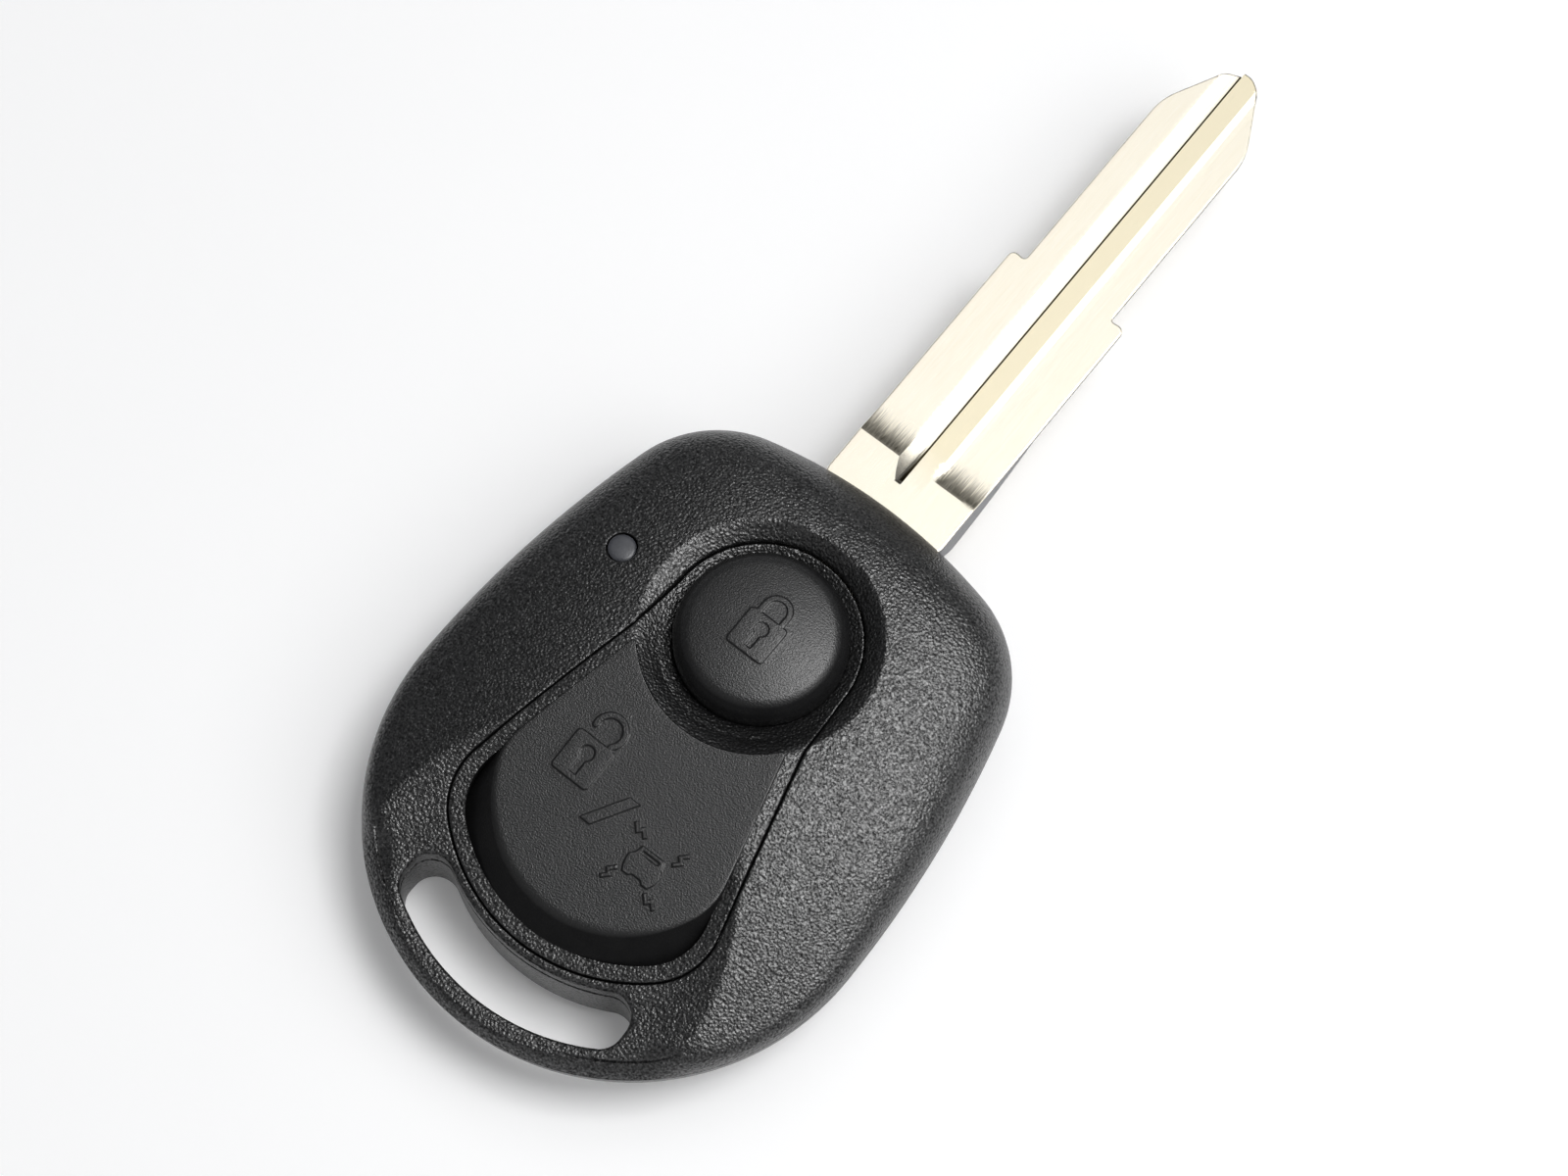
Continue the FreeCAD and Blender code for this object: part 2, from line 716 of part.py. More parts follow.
def remote_chip():
    """Control chip with a row of bent legs on each side."""
    body = chip(chip_x, chip_y, chip_size, chip_lift)
    knee = chip_size[0] / 2 + chip_leg_reach / 2
    for k in range(chip_legs):
        y = chip_y + (k - (chip_legs - 1) / 2) * chip_leg_pitch
        for side in (-1, 1):
            strip = (chip_leg_reach, chip_leg_width, chip_lift)
            upper = chip(chip_x + side * knee, y, strip, chip_size[2] / 2)
            foot = chip(chip_x + side * (knee + chip_leg_reach / 2), y, strip)
            post = chip(chip_x + side * (knee + chip_leg_reach / 2), y,
                        (chip_lift, chip_leg_width, chip_size[2] / 2 + chip_lift))
            body = body.fuse([upper, foot, post])
    return body.removeSplitter()


def row_of_chips(x, y, size):
    return Part.makeCompound([chip(x + k * row_pitch, y, size) for k in range(row_count)])


def saw_resonator():
    can = chip(saw_x, saw_y, saw_size)
    upright = [e for e in can.Edges if e.BoundBox.ZLength > saw_size[2] * 0.9]
    return can.makeFillet(saw_corner_radius, upright)


def quartz_crystal():
    lying = block(crystal_x - crystal_width / 2, crystal_x + crystal_width / 2,
                  crystal_y - crystal_length / 2, crystal_y + crystal_length / 2,
                  board_top_z, board_top_z + crystal_height)
    upright = [e for e in lying.Edges if e.BoundBox.ZLength > crystal_height * 0.9]
    return lying.makeFillet(crystal_corner_radius, upright)


def antenna_trace():
    """Copper loop along the board's right edge."""
    outer = board_inset + antenna_margin
    ring = prism(head_wire(outer), board_top_z, board_top_z + antenna_height)
    ring = ring.cut(prism(head_wire(outer + antenna_width), 0, sky))
    return ring.common(block(antenna_left_x, head_length, board_back_y + antenna_end_gap,
                             board_front_y - antenna_end_gap, 0, sky))


def case_screw(side):
    x = side * screw_x
    head = column(screw_head_radius, x, screw_y, screw_seat_z - screw_head_height, screw_seat_z)
    screw = head.fuse(column(screw_shank_radius, x, screw_y, screw_seat_z, screw_tip_z))
    low = screw_seat_z - screw_head_height
    for w, d in ((screw_slot_width, screw_slot_length), (screw_slot_length, screw_slot_width)):
        screw = screw.cut(block(x - w / 2, x + w / 2, screw_y - d / 2, screw_y + d / 2,
                                low, low + screw_slot_depth))
    return screw


def coin_cell():
    high = cell_z + cell_height
    body = column(cell_radius, 0, cell_y, cell_z + cell_lip_height, high)
    body = body.fuse(column(cell_lip_radius, 0, cell_y, cell_z, cell_z + cell_lip_height)).removeSplitter()
    top = [e for e in body.Edges if e.BoundBox.ZMin > (cell_z + high) / 2 and e.Length > cell_radius]
    return body.makeFillet(cell_edge_radius, top)


def negative_contact():
    """Strip under the cell that rises beside it to the board."""
    half = contact_width / 2
    leg = cell_y + cell_radius + contact_gap / 2
    strip = block(-half, half, cell_y - contact_width, leg, pocket_z, cell_z)
    riser = block(-half, half, leg, leg + contact_thickness / 2, pocket_z, board_z)
    return strip.fuse(riser).removeSplitter()


def positive_contact():
    """Strip on the cell with a bent leg up to the board."""
    half = contact_width / 2
    low = cell_z + cell_height
    strip = block(-half, half, cell_y - contact_width, cell_y + contact_width, low, low + contact_thickness)
    leg = cell_y + contact_width
    riser = block(-half, half, leg - contact_thickness, leg, low, board_z)
    return strip.fuse(riser).removeSplitter()


def transponder():
    x, y, z = transponder_size
    body = block(transponder_x - x / 2, transponder_x + x / 2, transponder_y - y / 2,
                 transponder_y + y / 2, transponder_z, transponder_z + z)
    long_edges = [e for e in body.Edges if e.BoundBox.YLength > y * 0.9]
    return body.makeFillet(cell_edge_radius, long_edges)


head_top = upper_form(0).cut(end_step(0)).cut(dish())
parts = {
    "upper_shell": upper_shell(),
    "lower_shell": lower_shell(),
    "button_pad": button_pad(),
    "lock_button": lock_button(),
    "unlock_button": unlock_button(),
    "key_blade": blade(),
    "blade_pin": column(pin_radius, 0, pin_y, pin_low_z, pin_high_z),
    "led_lens": led_lens(),
    "circuit_board": circuit_board(),
    "coin_cell": coin_cell(),
    "battery_contact_negative": negative_contact(),
    "battery_contact_positive": positive_contact(),
    "transponder_chip": transponder(),
    "remote_chip": remote_chip(),
    "saw_resonator": saw_resonator(),
    "quartz_crystal": quartz_crystal(),
    "chip_capacitors": row_of_chips(capacitor_x, capacitor_y, capacitor_size),
    "chip_resistors": row_of_chips(resistor_x, resistor_y, resistor_size),
    "antenna_trace": antenna_trace(),
    "led_chip": chip(lens_x, lens_y, led_size),
    "lock_switch_plunger": plunger(crown_y),
    "unlock_switch_plunger": plunger(unlock_press_y),
    "case_screws": Part.makeCompound([case_screw(-1), case_screw(1)]),
    "switch_bases": Part.makeCompound([switch_base(crown_y), switch_base(unlock_press_y)]),
    "switch_lids": Part.makeCompound([switch_lid(crown_y), switch_lid(unlock_press_y)]),
    "snap_discs": Part.makeCompound([snap_disc(crown_y), snap_disc(unlock_press_y)]),
}
to_frame = V(0, (head_length - blade_reach) / 2, 0)
os.makedirs("parts", exist_ok=True)
for name, shape in parts.items():
    shape.translate(to_frame)
    shape.exportStep("parts/" + name + ".step")
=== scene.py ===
"""The look of a car key with a remote head: two black half shells, a rubber pad with two
buttons and a milled blade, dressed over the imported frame.

Lengths are millimetres in the key's own coordinates, with Y = 0 at the head's front edge and
Z = 0 at its back, until make_mesh places a piece in the frame in metres.
"""
import math

import bmesh
import bpy
import numpy as np
from mathutils import Matrix, Vector
from mathutils.geometry import delaunay_2d_cdt
from mathutils.kdtree import KDTree


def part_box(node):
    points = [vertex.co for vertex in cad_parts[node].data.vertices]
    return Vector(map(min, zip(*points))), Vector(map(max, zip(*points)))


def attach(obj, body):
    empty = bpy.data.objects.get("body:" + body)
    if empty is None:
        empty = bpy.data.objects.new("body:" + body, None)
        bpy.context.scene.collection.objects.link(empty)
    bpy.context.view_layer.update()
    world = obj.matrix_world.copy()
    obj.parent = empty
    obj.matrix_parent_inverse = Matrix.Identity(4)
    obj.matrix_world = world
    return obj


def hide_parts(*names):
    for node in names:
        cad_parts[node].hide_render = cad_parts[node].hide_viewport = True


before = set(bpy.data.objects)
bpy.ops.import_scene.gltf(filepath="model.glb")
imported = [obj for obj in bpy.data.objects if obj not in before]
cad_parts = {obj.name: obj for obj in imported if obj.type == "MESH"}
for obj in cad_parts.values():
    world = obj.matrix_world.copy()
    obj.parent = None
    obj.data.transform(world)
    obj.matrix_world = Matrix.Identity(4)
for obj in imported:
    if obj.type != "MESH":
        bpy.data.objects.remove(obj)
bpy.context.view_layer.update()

# Upper shell. The top half of the head, moulded in black plastic with a leathery spark
# texture: a shallow crown, a dish sunk round the lock button, and a lowered end with the
# keyring slot. Two screws from the back pull it onto the lower shell.
mm = 0.001
head_length = 49.2
front_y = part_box("lower_shell")[0].y / mm + head_length
front_radius = 42.0
shoulder_radius = 9.5
side_radius = 85.0
end_radius = 19.65
join_z = 6.5
wall = 1.5
edge_width = 8.5
upper_rise = 6.6
shoulder_blend = 1.5
crown_y = -14.8
crown_z = 12.8
crown_long_radius = 150.0
crown_cross_radius = 55.0
dish_radius = 7.5
dish_floor_z = 11.3
dish_rim_radius = 9.1
dish_least_depth = 0.6
dish_inner_slope = 0.45
dish_blend = 0.05
dish_bend = 0.5
floor_line = ((-28.5, 11.25), (-38.5, 8.7), (-48.4, 7.25))
crease_widest = 14.24
crease_widest_y = -42.2
crease_bend = 0.02705
crease_least_width = 1.0
crease_run_y = (-28.8, -43.5)
scoop_power = 10.0
rim_width = 1.1
rim_z = 7.55
rim_foot_z = 6.6
rim_bulge = 0.1
rim_blend = 0.12
rim_groove_depth = 0.15
rim_groove_half = 0.12
rim_angles = (math.radians(41.0), math.radians(60.0))
seam_gap = 0.12
seam_round = 0.14
join_groove = 0.07
slot_round = 0.3
slot_wall = 0.5
slot_wall_margin = 0.01
slot_wall_foot = 0.05
join_gap = 0.005
lens_place = (-12.3, -15.55)
lens_mouth_radius = 1.17


def arc_run(centre, radius, start, stop, count):
    """Points along an arc, without its last one."""
    angle = np.linspace(start, stop, count, endpoint=False)
    return np.stack([centre[0] + radius * np.cos(angle), centre[1] + radius * np.sin(angle)], axis=1)


def straight_run(start, stop, count):
    """Points along a straight line, without its last one."""
    share = np.linspace(0, 1, count, endpoint=False)[:, None]
    return np.array(start) * (1 - share) + np.array(stop) * share


def circles_meet(a, radius_a, b, radius_b):
    """The upper right point where two circles cross."""
    gap = b - a
    far = np.hypot(*gap)
    along = (radius_a ** 2 - radius_b ** 2 + far ** 2) / (2 * far)
    across = math.sqrt(radius_a ** 2 - along ** 2)
    unit = gap / far
    side = np.array([-unit[1], unit[0]])
    return max((a + unit * along + side * s for s in (across, -across)), key=lambda p: p[1])


end_centre = np.array([0.0, end_radius - head_length])
flank_centre = np.array([end_radius - side_radius, end_centre[1]])
front_centre = np.array([0.0, -front_radius])
corner_centre = circles_meet(flank_centre, side_radius - shoulder_radius,
                             front_centre, front_radius - shoulder_radius)
flank_angle = math.atan2(*(corner_centre - flank_centre)[::-1])
front_angle = math.atan2(*(corner_centre - front_centre)[::-1])


def mirrored(points):
    """The same run on the head's left, in the order that closes a loop."""
    return np.array([-1.0, 1.0]) * points[::-1]


def both_sides(right):
    """Closed loop from its right half, which starts and ends on the middle line."""
    return np.concatenate([right, mirrored(right[1:-1])])


def head_loop(inset):
    """Outline of the head drawn in by inset, anticlockwise from the left of the end arc."""
    right = np.concatenate([
        arc_run(flank_centre, side_radius - inset, 0, flank_angle, 90),
        arc_run(corner_centre, shoulder_radius - inset, flank_angle, front_angle, 44),
        arc_run(front_centre, front_radius - inset, front_angle, math.pi / 2, 34),
        front_centre[None, :] + np.array([[0.0, front_radius - inset]])])
    end = arc_run(end_centre, end_radius - inset, -math.pi, 0, 170)
    return np.concatenate([end, right, mirrored(right[1:-1])])


def inset_of(x, y):
    """Distance inwards from the head's outline."""
    x = np.abs(x)
    side = np.where(np.arctan2(y - flank_centre[1], x - flank_centre[0]) <= flank_angle,
                    side_radius - np.hypot(x - flank_centre[0], y - flank_centre[1]), np.inf)
    front = np.where(np.arctan2(y - front_centre[1], x) >= front_angle,
                     front_radius - np.hypot(x, y - front_centre[1]), np.inf)
    corner = shoulder_radius - np.hypot(x - corner_centre[0], y - corner_centre[1])
    upper = np.minimum(side, front)
    upper = np.where(np.isinf(upper), corner, upper)
    return np.where(y < end_centre[1], end_radius - np.hypot(x, y - end_centre[1]), upper)


def soft_low(a, b, blend):
    """The lower of two heights, rounded where they cross."""
    share = np.clip(0.5 + 0.5 * (b - a) / blend, 0, 1)
    return b + (a - b) * share - blend * share * (1 - share)


def soft_step(low, high, value):
    """Share from 0 at low to 1 at high, level at both ends."""
    share = np.clip((value - low) / (high - low), 0, 1)
    return share * share * (3 - 2 * share)


def barrel_z(x, y, middle_y, middle_z, long_radius, cross_radius):
    """Height of a dome curved along and across the head."""
    across = cross_radius - long_radius + np.sqrt(long_radius ** 2 - (y - middle_y) ** 2)
    return middle_z - cross_radius + np.sqrt(across ** 2 - x ** 2)


def edge_rise(inset, rise):
    """Height above the head's outline of its rounded side."""
    share = np.clip(1 - inset / edge_width, 0, 1)
    return rise * np.sqrt(1 - share ** 2)


def end_floor_z(y):
    """Middle line of the lowered end, through its three measured heights."""
    (y0, z0), (y1, z1), (y2, z2) = floor_line
    return (z0 * (y - y1) * (y - y2) / ((y0 - y1) * (y0 - y2))
            + z1 * (y - y0) * (y - y2) / ((y1 - y0) * (y1 - y2))
            + z2 * (y - y0) * (y - y1) / ((y2 - y0) * (y2 - y1)))


def crease_x(y):
    """Half width of the lowered end's floor."""
    return crease_widest - crease_bend * (y - crease_widest_y) ** 2


def dish_z(x, y, dome):
    """Cone that falls from the crown to the dish's floor edge, and on to the lock button."""
    reach = np.hypot(x, y - crown_y) - dish_radius
    rise = np.maximum(dome - dish_floor_z, dish_least_depth) / (dish_rim_radius - dish_radius)
    bend = -soft_low(-reach, np.zeros(np.shape(reach)), dish_bend)
    return dish_floor_z + dish_inner_slope * reach + (rise - dish_inner_slope) * bend


def head_top_z(x, y):
    """Height of the head's top skin, which the shell and the pad share."""
    dome = barrel_z(x, y, crown_y, crown_z, crown_long_radius, crown_cross_radius)
    share = np.abs(x) / np.maximum(crease_x(y), crease_least_width)
    drop = np.maximum(0, dome - end_floor_z(y)) * np.maximum(0, 1 - share ** scoop_power)
    inset = inset_of(x, y)
    angle = np.arctan2(np.abs(x), end_centre[1] - y)
    at_slot = 1 - soft_step(*rim_angles, angle)
    share = inset / rim_width
    rim = rim_foot_z + (rim_z - rim_foot_z) * share
    rim = rim + 4 * rim_bulge * np.where(share < 1, share * (1 - share), 1 - share)
    side = join_z + edge_rise(inset, upper_rise)
    side = side + (rim - side) * at_slot
    blend = shoulder_blend + (rim_blend - shoulder_blend) * at_slot
    groove = np.clip(1 - np.abs(inset - rim_width) / rim_groove_half, 0, 1)
    side = side - at_slot * rim_groove_depth * groove
    return soft_low(soft_low(side, dome - drop, blend), dish_z(x, y, dome), dish_blend)


points_at_once = 2000


def loop_distance(points, loop):
    """Distance from each point to a closed loop."""
    span = np.roll(loop, -1, axis=0) - loop
    square = np.maximum((span ** 2).sum(axis=1), 1e-12)
    result = np.empty(len(points))
    for low in range(0, len(points), points_at_once):
        away = points[low:low + points_at_once, None, :] - loop[None]
        share = np.clip((away * span).sum(axis=2) / square, 0, 1)
        nearest = np.sqrt(((away - share[..., None] * span) ** 2).sum(axis=2)).min(axis=1)
        result[low:low + points_at_once] = nearest
    return result


def inside_loop(points, loop):
    """Whether each point lies inside a closed loop."""
    x0, y0 = loop.T
    x1, y1 = np.roll(loop, -1, axis=0).T
    result = np.empty(len(points), dtype=bool)
    for low in range(0, len(points), points_at_once):
        x, y = points[low:low + points_at_once].T[:, :, None]
        crosses = (y0 > y) != (y1 > y)
        with np.errstate(divide="ignore", invalid="ignore"):
            hit = x < (x1 - x0) * (y - y0) / (y1 - y0) + x0
        result[low:low + points_at_once] = (crosses & hit).sum(axis=1) % 2 == 1
    return result


def in_plan(points, outer, holes):
    """Whether each point lies in a plan with holes."""
    keep = inside_loop(points, outer)
    for loop in holes:
        keep &= ~inside_loop(points, loop)
    return keep


def within(points, outer, holes, margin):
    """The points that lie in the plan, clear of its edges."""
    points = points[in_plan(points, outer, holes)]
    for loop in [outer] + holes:
        points = points[loop_distance(points, loop) > margin]
    return points


# The grid's points keep these shares of its spacing from the plan's edges and lines.
edge_share = 0.5
line_share = 0.6
line_margin = 0.012
weld_distance = 1e-5


def plan_mesh(outer, holes, lines, spacing):
    """Triangles over a plan with holes: its points, faces, and the edge loops' point numbers.

    Points on a grid of even triangles fill the plan, away from its edges and lines.
    """
    loops = [outer] + holes
    placed = [within(line, outer, holes, line_margin) for line in lines]
    tree = KDTree(sum(len(p) for p in loops + placed))
    for number, point in enumerate(np.concatenate(loops + placed)):
        tree.insert((point[0], point[1], 0), number)
    tree.balance()
    low = outer.min(axis=0)
    high = outer.max(axis=0)
    columns = np.arange(low[0], high[0], spacing)
    rows = np.arange(low[1], high[1], spacing * math.sqrt(0.75))
    grid = np.concatenate([np.column_stack([columns + spacing / 2 * (k % 2), np.full(len(columns), row)])
                           for k, row in enumerate(rows)])
    grid = within(grid, outer, holes, spacing * edge_share)
    far = [tree.find((p[0], p[1], 0))[2] > spacing * line_share for p in grid]
    points = np.concatenate(loops + placed + [grid[far]])
    counts = np.cumsum([0] + [len(loop) for loop in loops])
    numbers = [list(range(first, last)) for first, last in zip(counts[:-1], counts[1:])]
    edges = [pair for loop in numbers for pair in zip(loop, loop[1:] + loop[:1])]
    found = delaunay_2d_cdt([Vector(p) for p in points.tolist()], edges, [], 0, weld_distance)
    plan = np.array([(v.x, v.y) for v in found[0]])
    where = {old: new for new, olds in enumerate(found[3]) for old in olds}
    faces = np.array([f for f in found[2] if len(f) == 3])
    keep = in_plan(plan[faces].mean(axis=1), outer, holes)
    return plan, faces[keep], [[where[k] for k in loop] for loop in numbers]


def make_mesh(name, points, faces, material, sharp=35.0):
    """Closed mesh placed in the frame, with its faces turned outwards."""
    mesh = bpy.data.meshes.new(name)
    placed = (np.asarray(points, dtype=float) + np.array([0.0, front_y, 0.0])) * mm
    mesh.from_pydata(placed.tolist(), [], [tuple(int(k) for k in face) for face in faces])
    work = bmesh.new()
    work.from_mesh(mesh)
    bmesh.ops.remove_doubles(work, verts=work.verts, dist=1e-7)
    bmesh.ops.recalc_face_normals(work, faces=work.faces)
    work.to_mesh(mesh)
    work.free()
    mesh.shade_smooth()
    mesh.set_sharp_from_angle(angle=math.radians(sharp))
    mesh.materials.append(material)
    piece = bpy.data.objects.new(name, mesh)
    bpy.context.scene.collection.objects.link(piece)
    return piece


def wall_between(upper, lower):
    """Quads between two closed runs of point numbers."""
    return [(a, b, d, c) for a, b, c, d in zip(upper, upper[1:] + upper[:1],
                                               lower, lower[1:] + lower[:1])]


def plan_body(outer, holes, lines, spacing, top,
              under_outer, under_lines, under_spacing, under, under_holes=None, bend_z=None):
    """A skin over a plan, its underside, and the walls round its edge and holes.

    Where a hole is wider in the underside, its wall goes straight to bend_z and then outwards.
    """
    under_holes = under_holes or holes
    plan, faces, loops = plan_mesh(outer, holes, lines, spacing)
    base, base_faces, base_loops = plan_mesh(under_outer, under_holes, under_lines, under_spacing)
    points = [np.column_stack([plan, top(plan)]), np.column_stack([base, under(base)])]
    total = len(plan) + len(base)
    quads = []
    for number, (upper, lower) in enumerate(zip(loops, base_loops)):
        lower = [k + len(plan) for k in lower]
        if number and under_holes[number - 1] is not holes[number - 1]:
            bend = list(range(total, total + len(upper)))
            points.append(np.column_stack([holes[number - 1], np.full(len(upper), bend_z)]))
            total += len(upper)
            quads += wall_between(upper, bend)
            upper = bend
        quads += wall_between(upper, lower)
    top_faces = [tuple(f) for f in faces]
    under_faces = [tuple(f + len(plan)) for f in base_faces[:, ::-1]]
    return np.concatenate(points), top_faces + quads + under_faces


def rounded_off(distance, radius):
    """How far a moulded edge falls away within its radius."""
    share = np.clip(1 - distance / radius, 0, 1)
    return radius * (1 - np.sqrt(1 - share ** 2))


pad_kink = np.array([7.87, -19.7])
pad_flank_slope = 0.243
pad_corner_radius = 5.2
pad_end_radius = 14.5
pad_end_y = -42.4
foot_centre = np.array([0.0, pad_end_y + pad_end_radius])
flank_way = np.array([pad_flank_slope, -1.0]) / math.hypot(pad_flank_slope, 1)
flank_out = np.array([-flank_way[1], flank_way[0]])


def flank_meets(start, centre, radius):
    """Where a line along the pad's flank, followed from start, leaves a circle."""
    away = start - centre
    half = away @ flank_way
    return start + flank_way * (-half + math.sqrt(half * half - away @ away + radius * radius))


def foot_run(start, corner, corner_radius, foot_radius, flank_count, corner_count):
    """The flank from start, its rounded corner, and the foot as far as the middle line."""
    out = (corner - foot_centre) / np.hypot(*(corner - foot_centre))
    turn = math.atan2(out[1], out[0])
    return np.concatenate([
        straight_run(start, corner + flank_out * corner_radius, flank_count),
        arc_run(corner, corner_radius, math.atan2(flank_out[1], flank_out[0]), turn, corner_count),
        arc_run(foot_centre, foot_radius, turn, -math.pi / 2, 44),
        [[0.0, foot_centre[1] - foot_radius]]])


def pad_loop(inset):
    """Outline of the rubber pad drawn in by inset: round top, two flanks, rounded foot."""
    shoulder = np.array([dish_radius - inset, crown_y])
    kink = pad_kink - inset * (flank_out + np.array([1.0, 0.0])) / (1 + flank_out[0])
    corner = flank_meets(pad_kink - flank_out * pad_corner_radius, foot_centre,
                         pad_end_radius - pad_corner_radius)
    right = np.concatenate([
        arc_run(np.array([0.0, crown_y]), dish_radius - inset, math.pi / 2, 0, 44),
        straight_run(shoulder, kink, 14),
        foot_run(kink, corner, pad_corner_radius - inset, pad_end_radius - inset, 60, 26)])
    return both_sides(right)[::-1]


slot_pad_gap = 0.6
slot_rim_width = 1.9
slot_inner_radius = pad_end_radius + slot_pad_gap
slot_outer_radius = end_radius - slot_rim_width
slot_half_width = 9.9
slot_corner = 1.8


def slot_loop(grow):
    """Outline of the curved keyring slot, grown by a distance."""
    inner = slot_inner_radius - grow
    outer = slot_outer_radius + grow
    corner = slot_corner + grow
    x = slot_half_width + grow - corner
    low = np.array([x, end_centre[1] - math.sqrt((outer - corner) ** 2 - x * x)])
    high = np.array([x, foot_centre[1] - math.sqrt((inner + corner) ** 2 - x * x)])
    low_angle = math.atan2(*(low - end_centre)[::-1])
    high_angle = math.atan2(*(high - foot_centre)[::-1])
    right = np.concatenate([
        arc_run(end_centre, outer, -math.pi / 2, low_angle, 34),
        arc_run(low, corner, low_angle, 0, 16),
        straight_run(low + [corner, 0], high + [corner, 0], 3),
        arc_run(high, corner, 0, high_angle + math.pi, 20),
        arc_run(foot_centre, inner, high_angle, -math.pi / 2, 30),
        [[0.0, foot_centre[1] - inner]]])
    return both_sides(right)


def circle_loop(place, radius, count):
    """A circle as a closed loop."""
    return arc_run(np.array(place), radius, 0, 2 * math.pi, count)


shell_holes = [pad_loop(0.0), slot_loop(0.0), circle_loop(lens_place, lens_mouth_radius, 40)]
edge_steps = [edge_width * (1 - math.cos(math.radians(2.6 * k))) for k in range(1, 18)]
round_shares = (0.12, 0.3, 0.55, 0.85, 1.4)
dish_radii = (8.0, 8.5, 8.9, 9.02, 9.1, 9.18, 9.35)
crease_offsets = (-0.5, -0.22, 0.0, 0.22, 0.5)
crease_run = np.linspace(*crease_run_y, 60)
shell_lines = [head_loop(d) for d in edge_steps]
shell_lines += [head_loop(rim_width + rim_groove_half * s) for s in (-1, 0, 1)]
shell_lines += [pad_loop(-seam_round * s) for s in round_shares]
shell_lines += [slot_loop(slot_round * s) for s in round_shares]
shell_lines += [circle_loop(lens_place, lens_mouth_radius + seam_round * s, 40) for s in round_shares]
shell_lines += [circle_loop((0, crown_y), r, 150) for r in dish_radii]
shell_lines += [np.column_stack([side * (crease_x(crease_run) + d), crease_run])
                for side in (-1, 1) for d in crease_offsets]


def shell_top(plan):
    """Top skin, rounded where it meets the pad, the slot and the light window."""
    z = np.maximum(head_top_z(*plan.T), join_z + join_groove)
    for loop, radius in zip(shell_holes, (seam_round, slot_round, seam_round)):
        z = z - rounded_off(loop_distance(plan, loop), radius)
    return z


def by_slot(plan):
    """Whether a point of a shell's underside is in the thin wall round the slot."""
    return loop_distance(plan, shell_holes[1]) < slot_wall + slot_wall_margin


def shell_under(plan):
    end_z = join_z + join_gap
    return np.where(by_slot(plan), end_z, np.maximum(head_top_z(*plan.T) - wall, end_z))


def set_inputs(material, node, values):
    """Gives a node's inputs their values: a socket is linked, anything else is written."""
    for name, value in values.items():
        if isinstance(value, bpy.types.NodeSocket):
            material.node_tree.links.new(value, node.inputs[name])
        else:
            node.inputs[name].default_value = value


def add_node(material, kind, values, **settings):
    """Shader node of a kind, with its settings and inputs."""
    node = material.node_tree.nodes.new("ShaderNode" + kind)
    for name, value in settings.items():
        setattr(node, name, value)
    set_inputs(material, node, values)
    return node


def noise_nodes(material, scale, detail=2.0, roughness=0.5):
    """Texture coordinates in metres and a noise texture that reads them."""
    place = add_node(material, "TexCoord", {})
    noise = add_node(material, "TexNoise", {"Vector": place.outputs["Object"], "Scale": scale,
                                            "Detail": detail, "Roughness": roughness})
    return place, noise


def new_material(name):
    """A material and its shader node."""
    material = bpy.data.materials.new(name)
    material.use_nodes = True
    return material, material.node_tree.nodes["Principled BSDF"]


def ramp(material, source, low, high):
    """Colour that goes from low to high over the middle of a noise's range."""
    node = add_node(material, "ValToRGB", {"Fac": source})
    for element, stop, colour in zip(node.color_ramp.elements, (0.3, 0.7), (low, high)):
        element.position = stop
        element.color = (*colour, 1)
    return node.outputs["Color"]


def value_range(material, source, low, high, source_low=0.0, source_high=1.0):
    """Turns part of a source's range into another range of values."""
    node = add_node(material, "MapRange", {"Value": source, "From Min": source_low,
                                           "From Max": source_high, "To Min": low, "To Max": high})
    return node.outputs["Result"]


def add_bump(material, source, distance, under=None):
    """Bump of a depth in metres, laid over another one where that is given."""
    values = {"Height": source, "Distance": distance, "Strength": 1.0}
    if under is not None:
        values["Normal"] = under
    return add_node(material, "Bump", values).outputs["Normal"]


plastic_black = (0.005, 0.005, 0.0052)
plastic_bloom = (0.008, 0.008, 0.0083)


def spark_plastic(name):
    """Black plastic with wandering leathery cells and a finer grain over them."""
    material, shader = new_material(name)
    place, patches = noise_nodes(material, 900.0, 3.0, 0.6)
    spot = place.outputs["Object"]
    warp = add_node(material, "TexNoise", {"Vector": spot, "Scale": 1500.0})
    shift = add_node(material, "VectorMath", {0: warp.outputs["Color"], 1: (0.0002,) * 3, 2: spot},
                     operation="MULTIPLY_ADD")
    cells = add_node(material, "TexVoronoi", {"Vector": shift.outputs["Vector"], "Scale": 4700.0,
                                              "Smoothness": 0.6}, feature="SMOOTH_F1")
    cell = cells.outputs["Distance"]
    grain = add_node(material, "TexNoise", {"Vector": spot, "Scale": 5600.0, "Detail": 2.5}).outputs["Fac"]
    coarse = add_bump(material, cell, -0.00006)
    set_inputs(material, shader, {
        "Base Color": ramp(material, patches.outputs["Fac"], plastic_black, plastic_bloom),
        "Roughness": value_range(material, cell, 0.28, 0.4),
        "Specular IOR Level": value_range(material, grain, 0.25, 1.6, 0.33, 0.67),
        "Normal": add_bump(material, grain, 0.00004, coarse)})
    return material


shell_plastic = spark_plastic("spark_plastic")
slot_groove = 0.24
shell_spacing = 0.42
inside_spacing = 1.6
shell_under_holes = [shell_holes[0], slot_loop(slot_groove), shell_holes[2]]
points, faces = plan_body(
    head_loop(0.0), shell_holes, shell_lines, shell_spacing, shell_top,
    head_loop(join_groove), [], inside_spacing, shell_under, shell_under_holes, join_z + slot_groove)
upper_skin = make_mesh("upper_shell_skin", points, faces, shell_plastic)
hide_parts("upper_shell")
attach(upper_skin, "root")

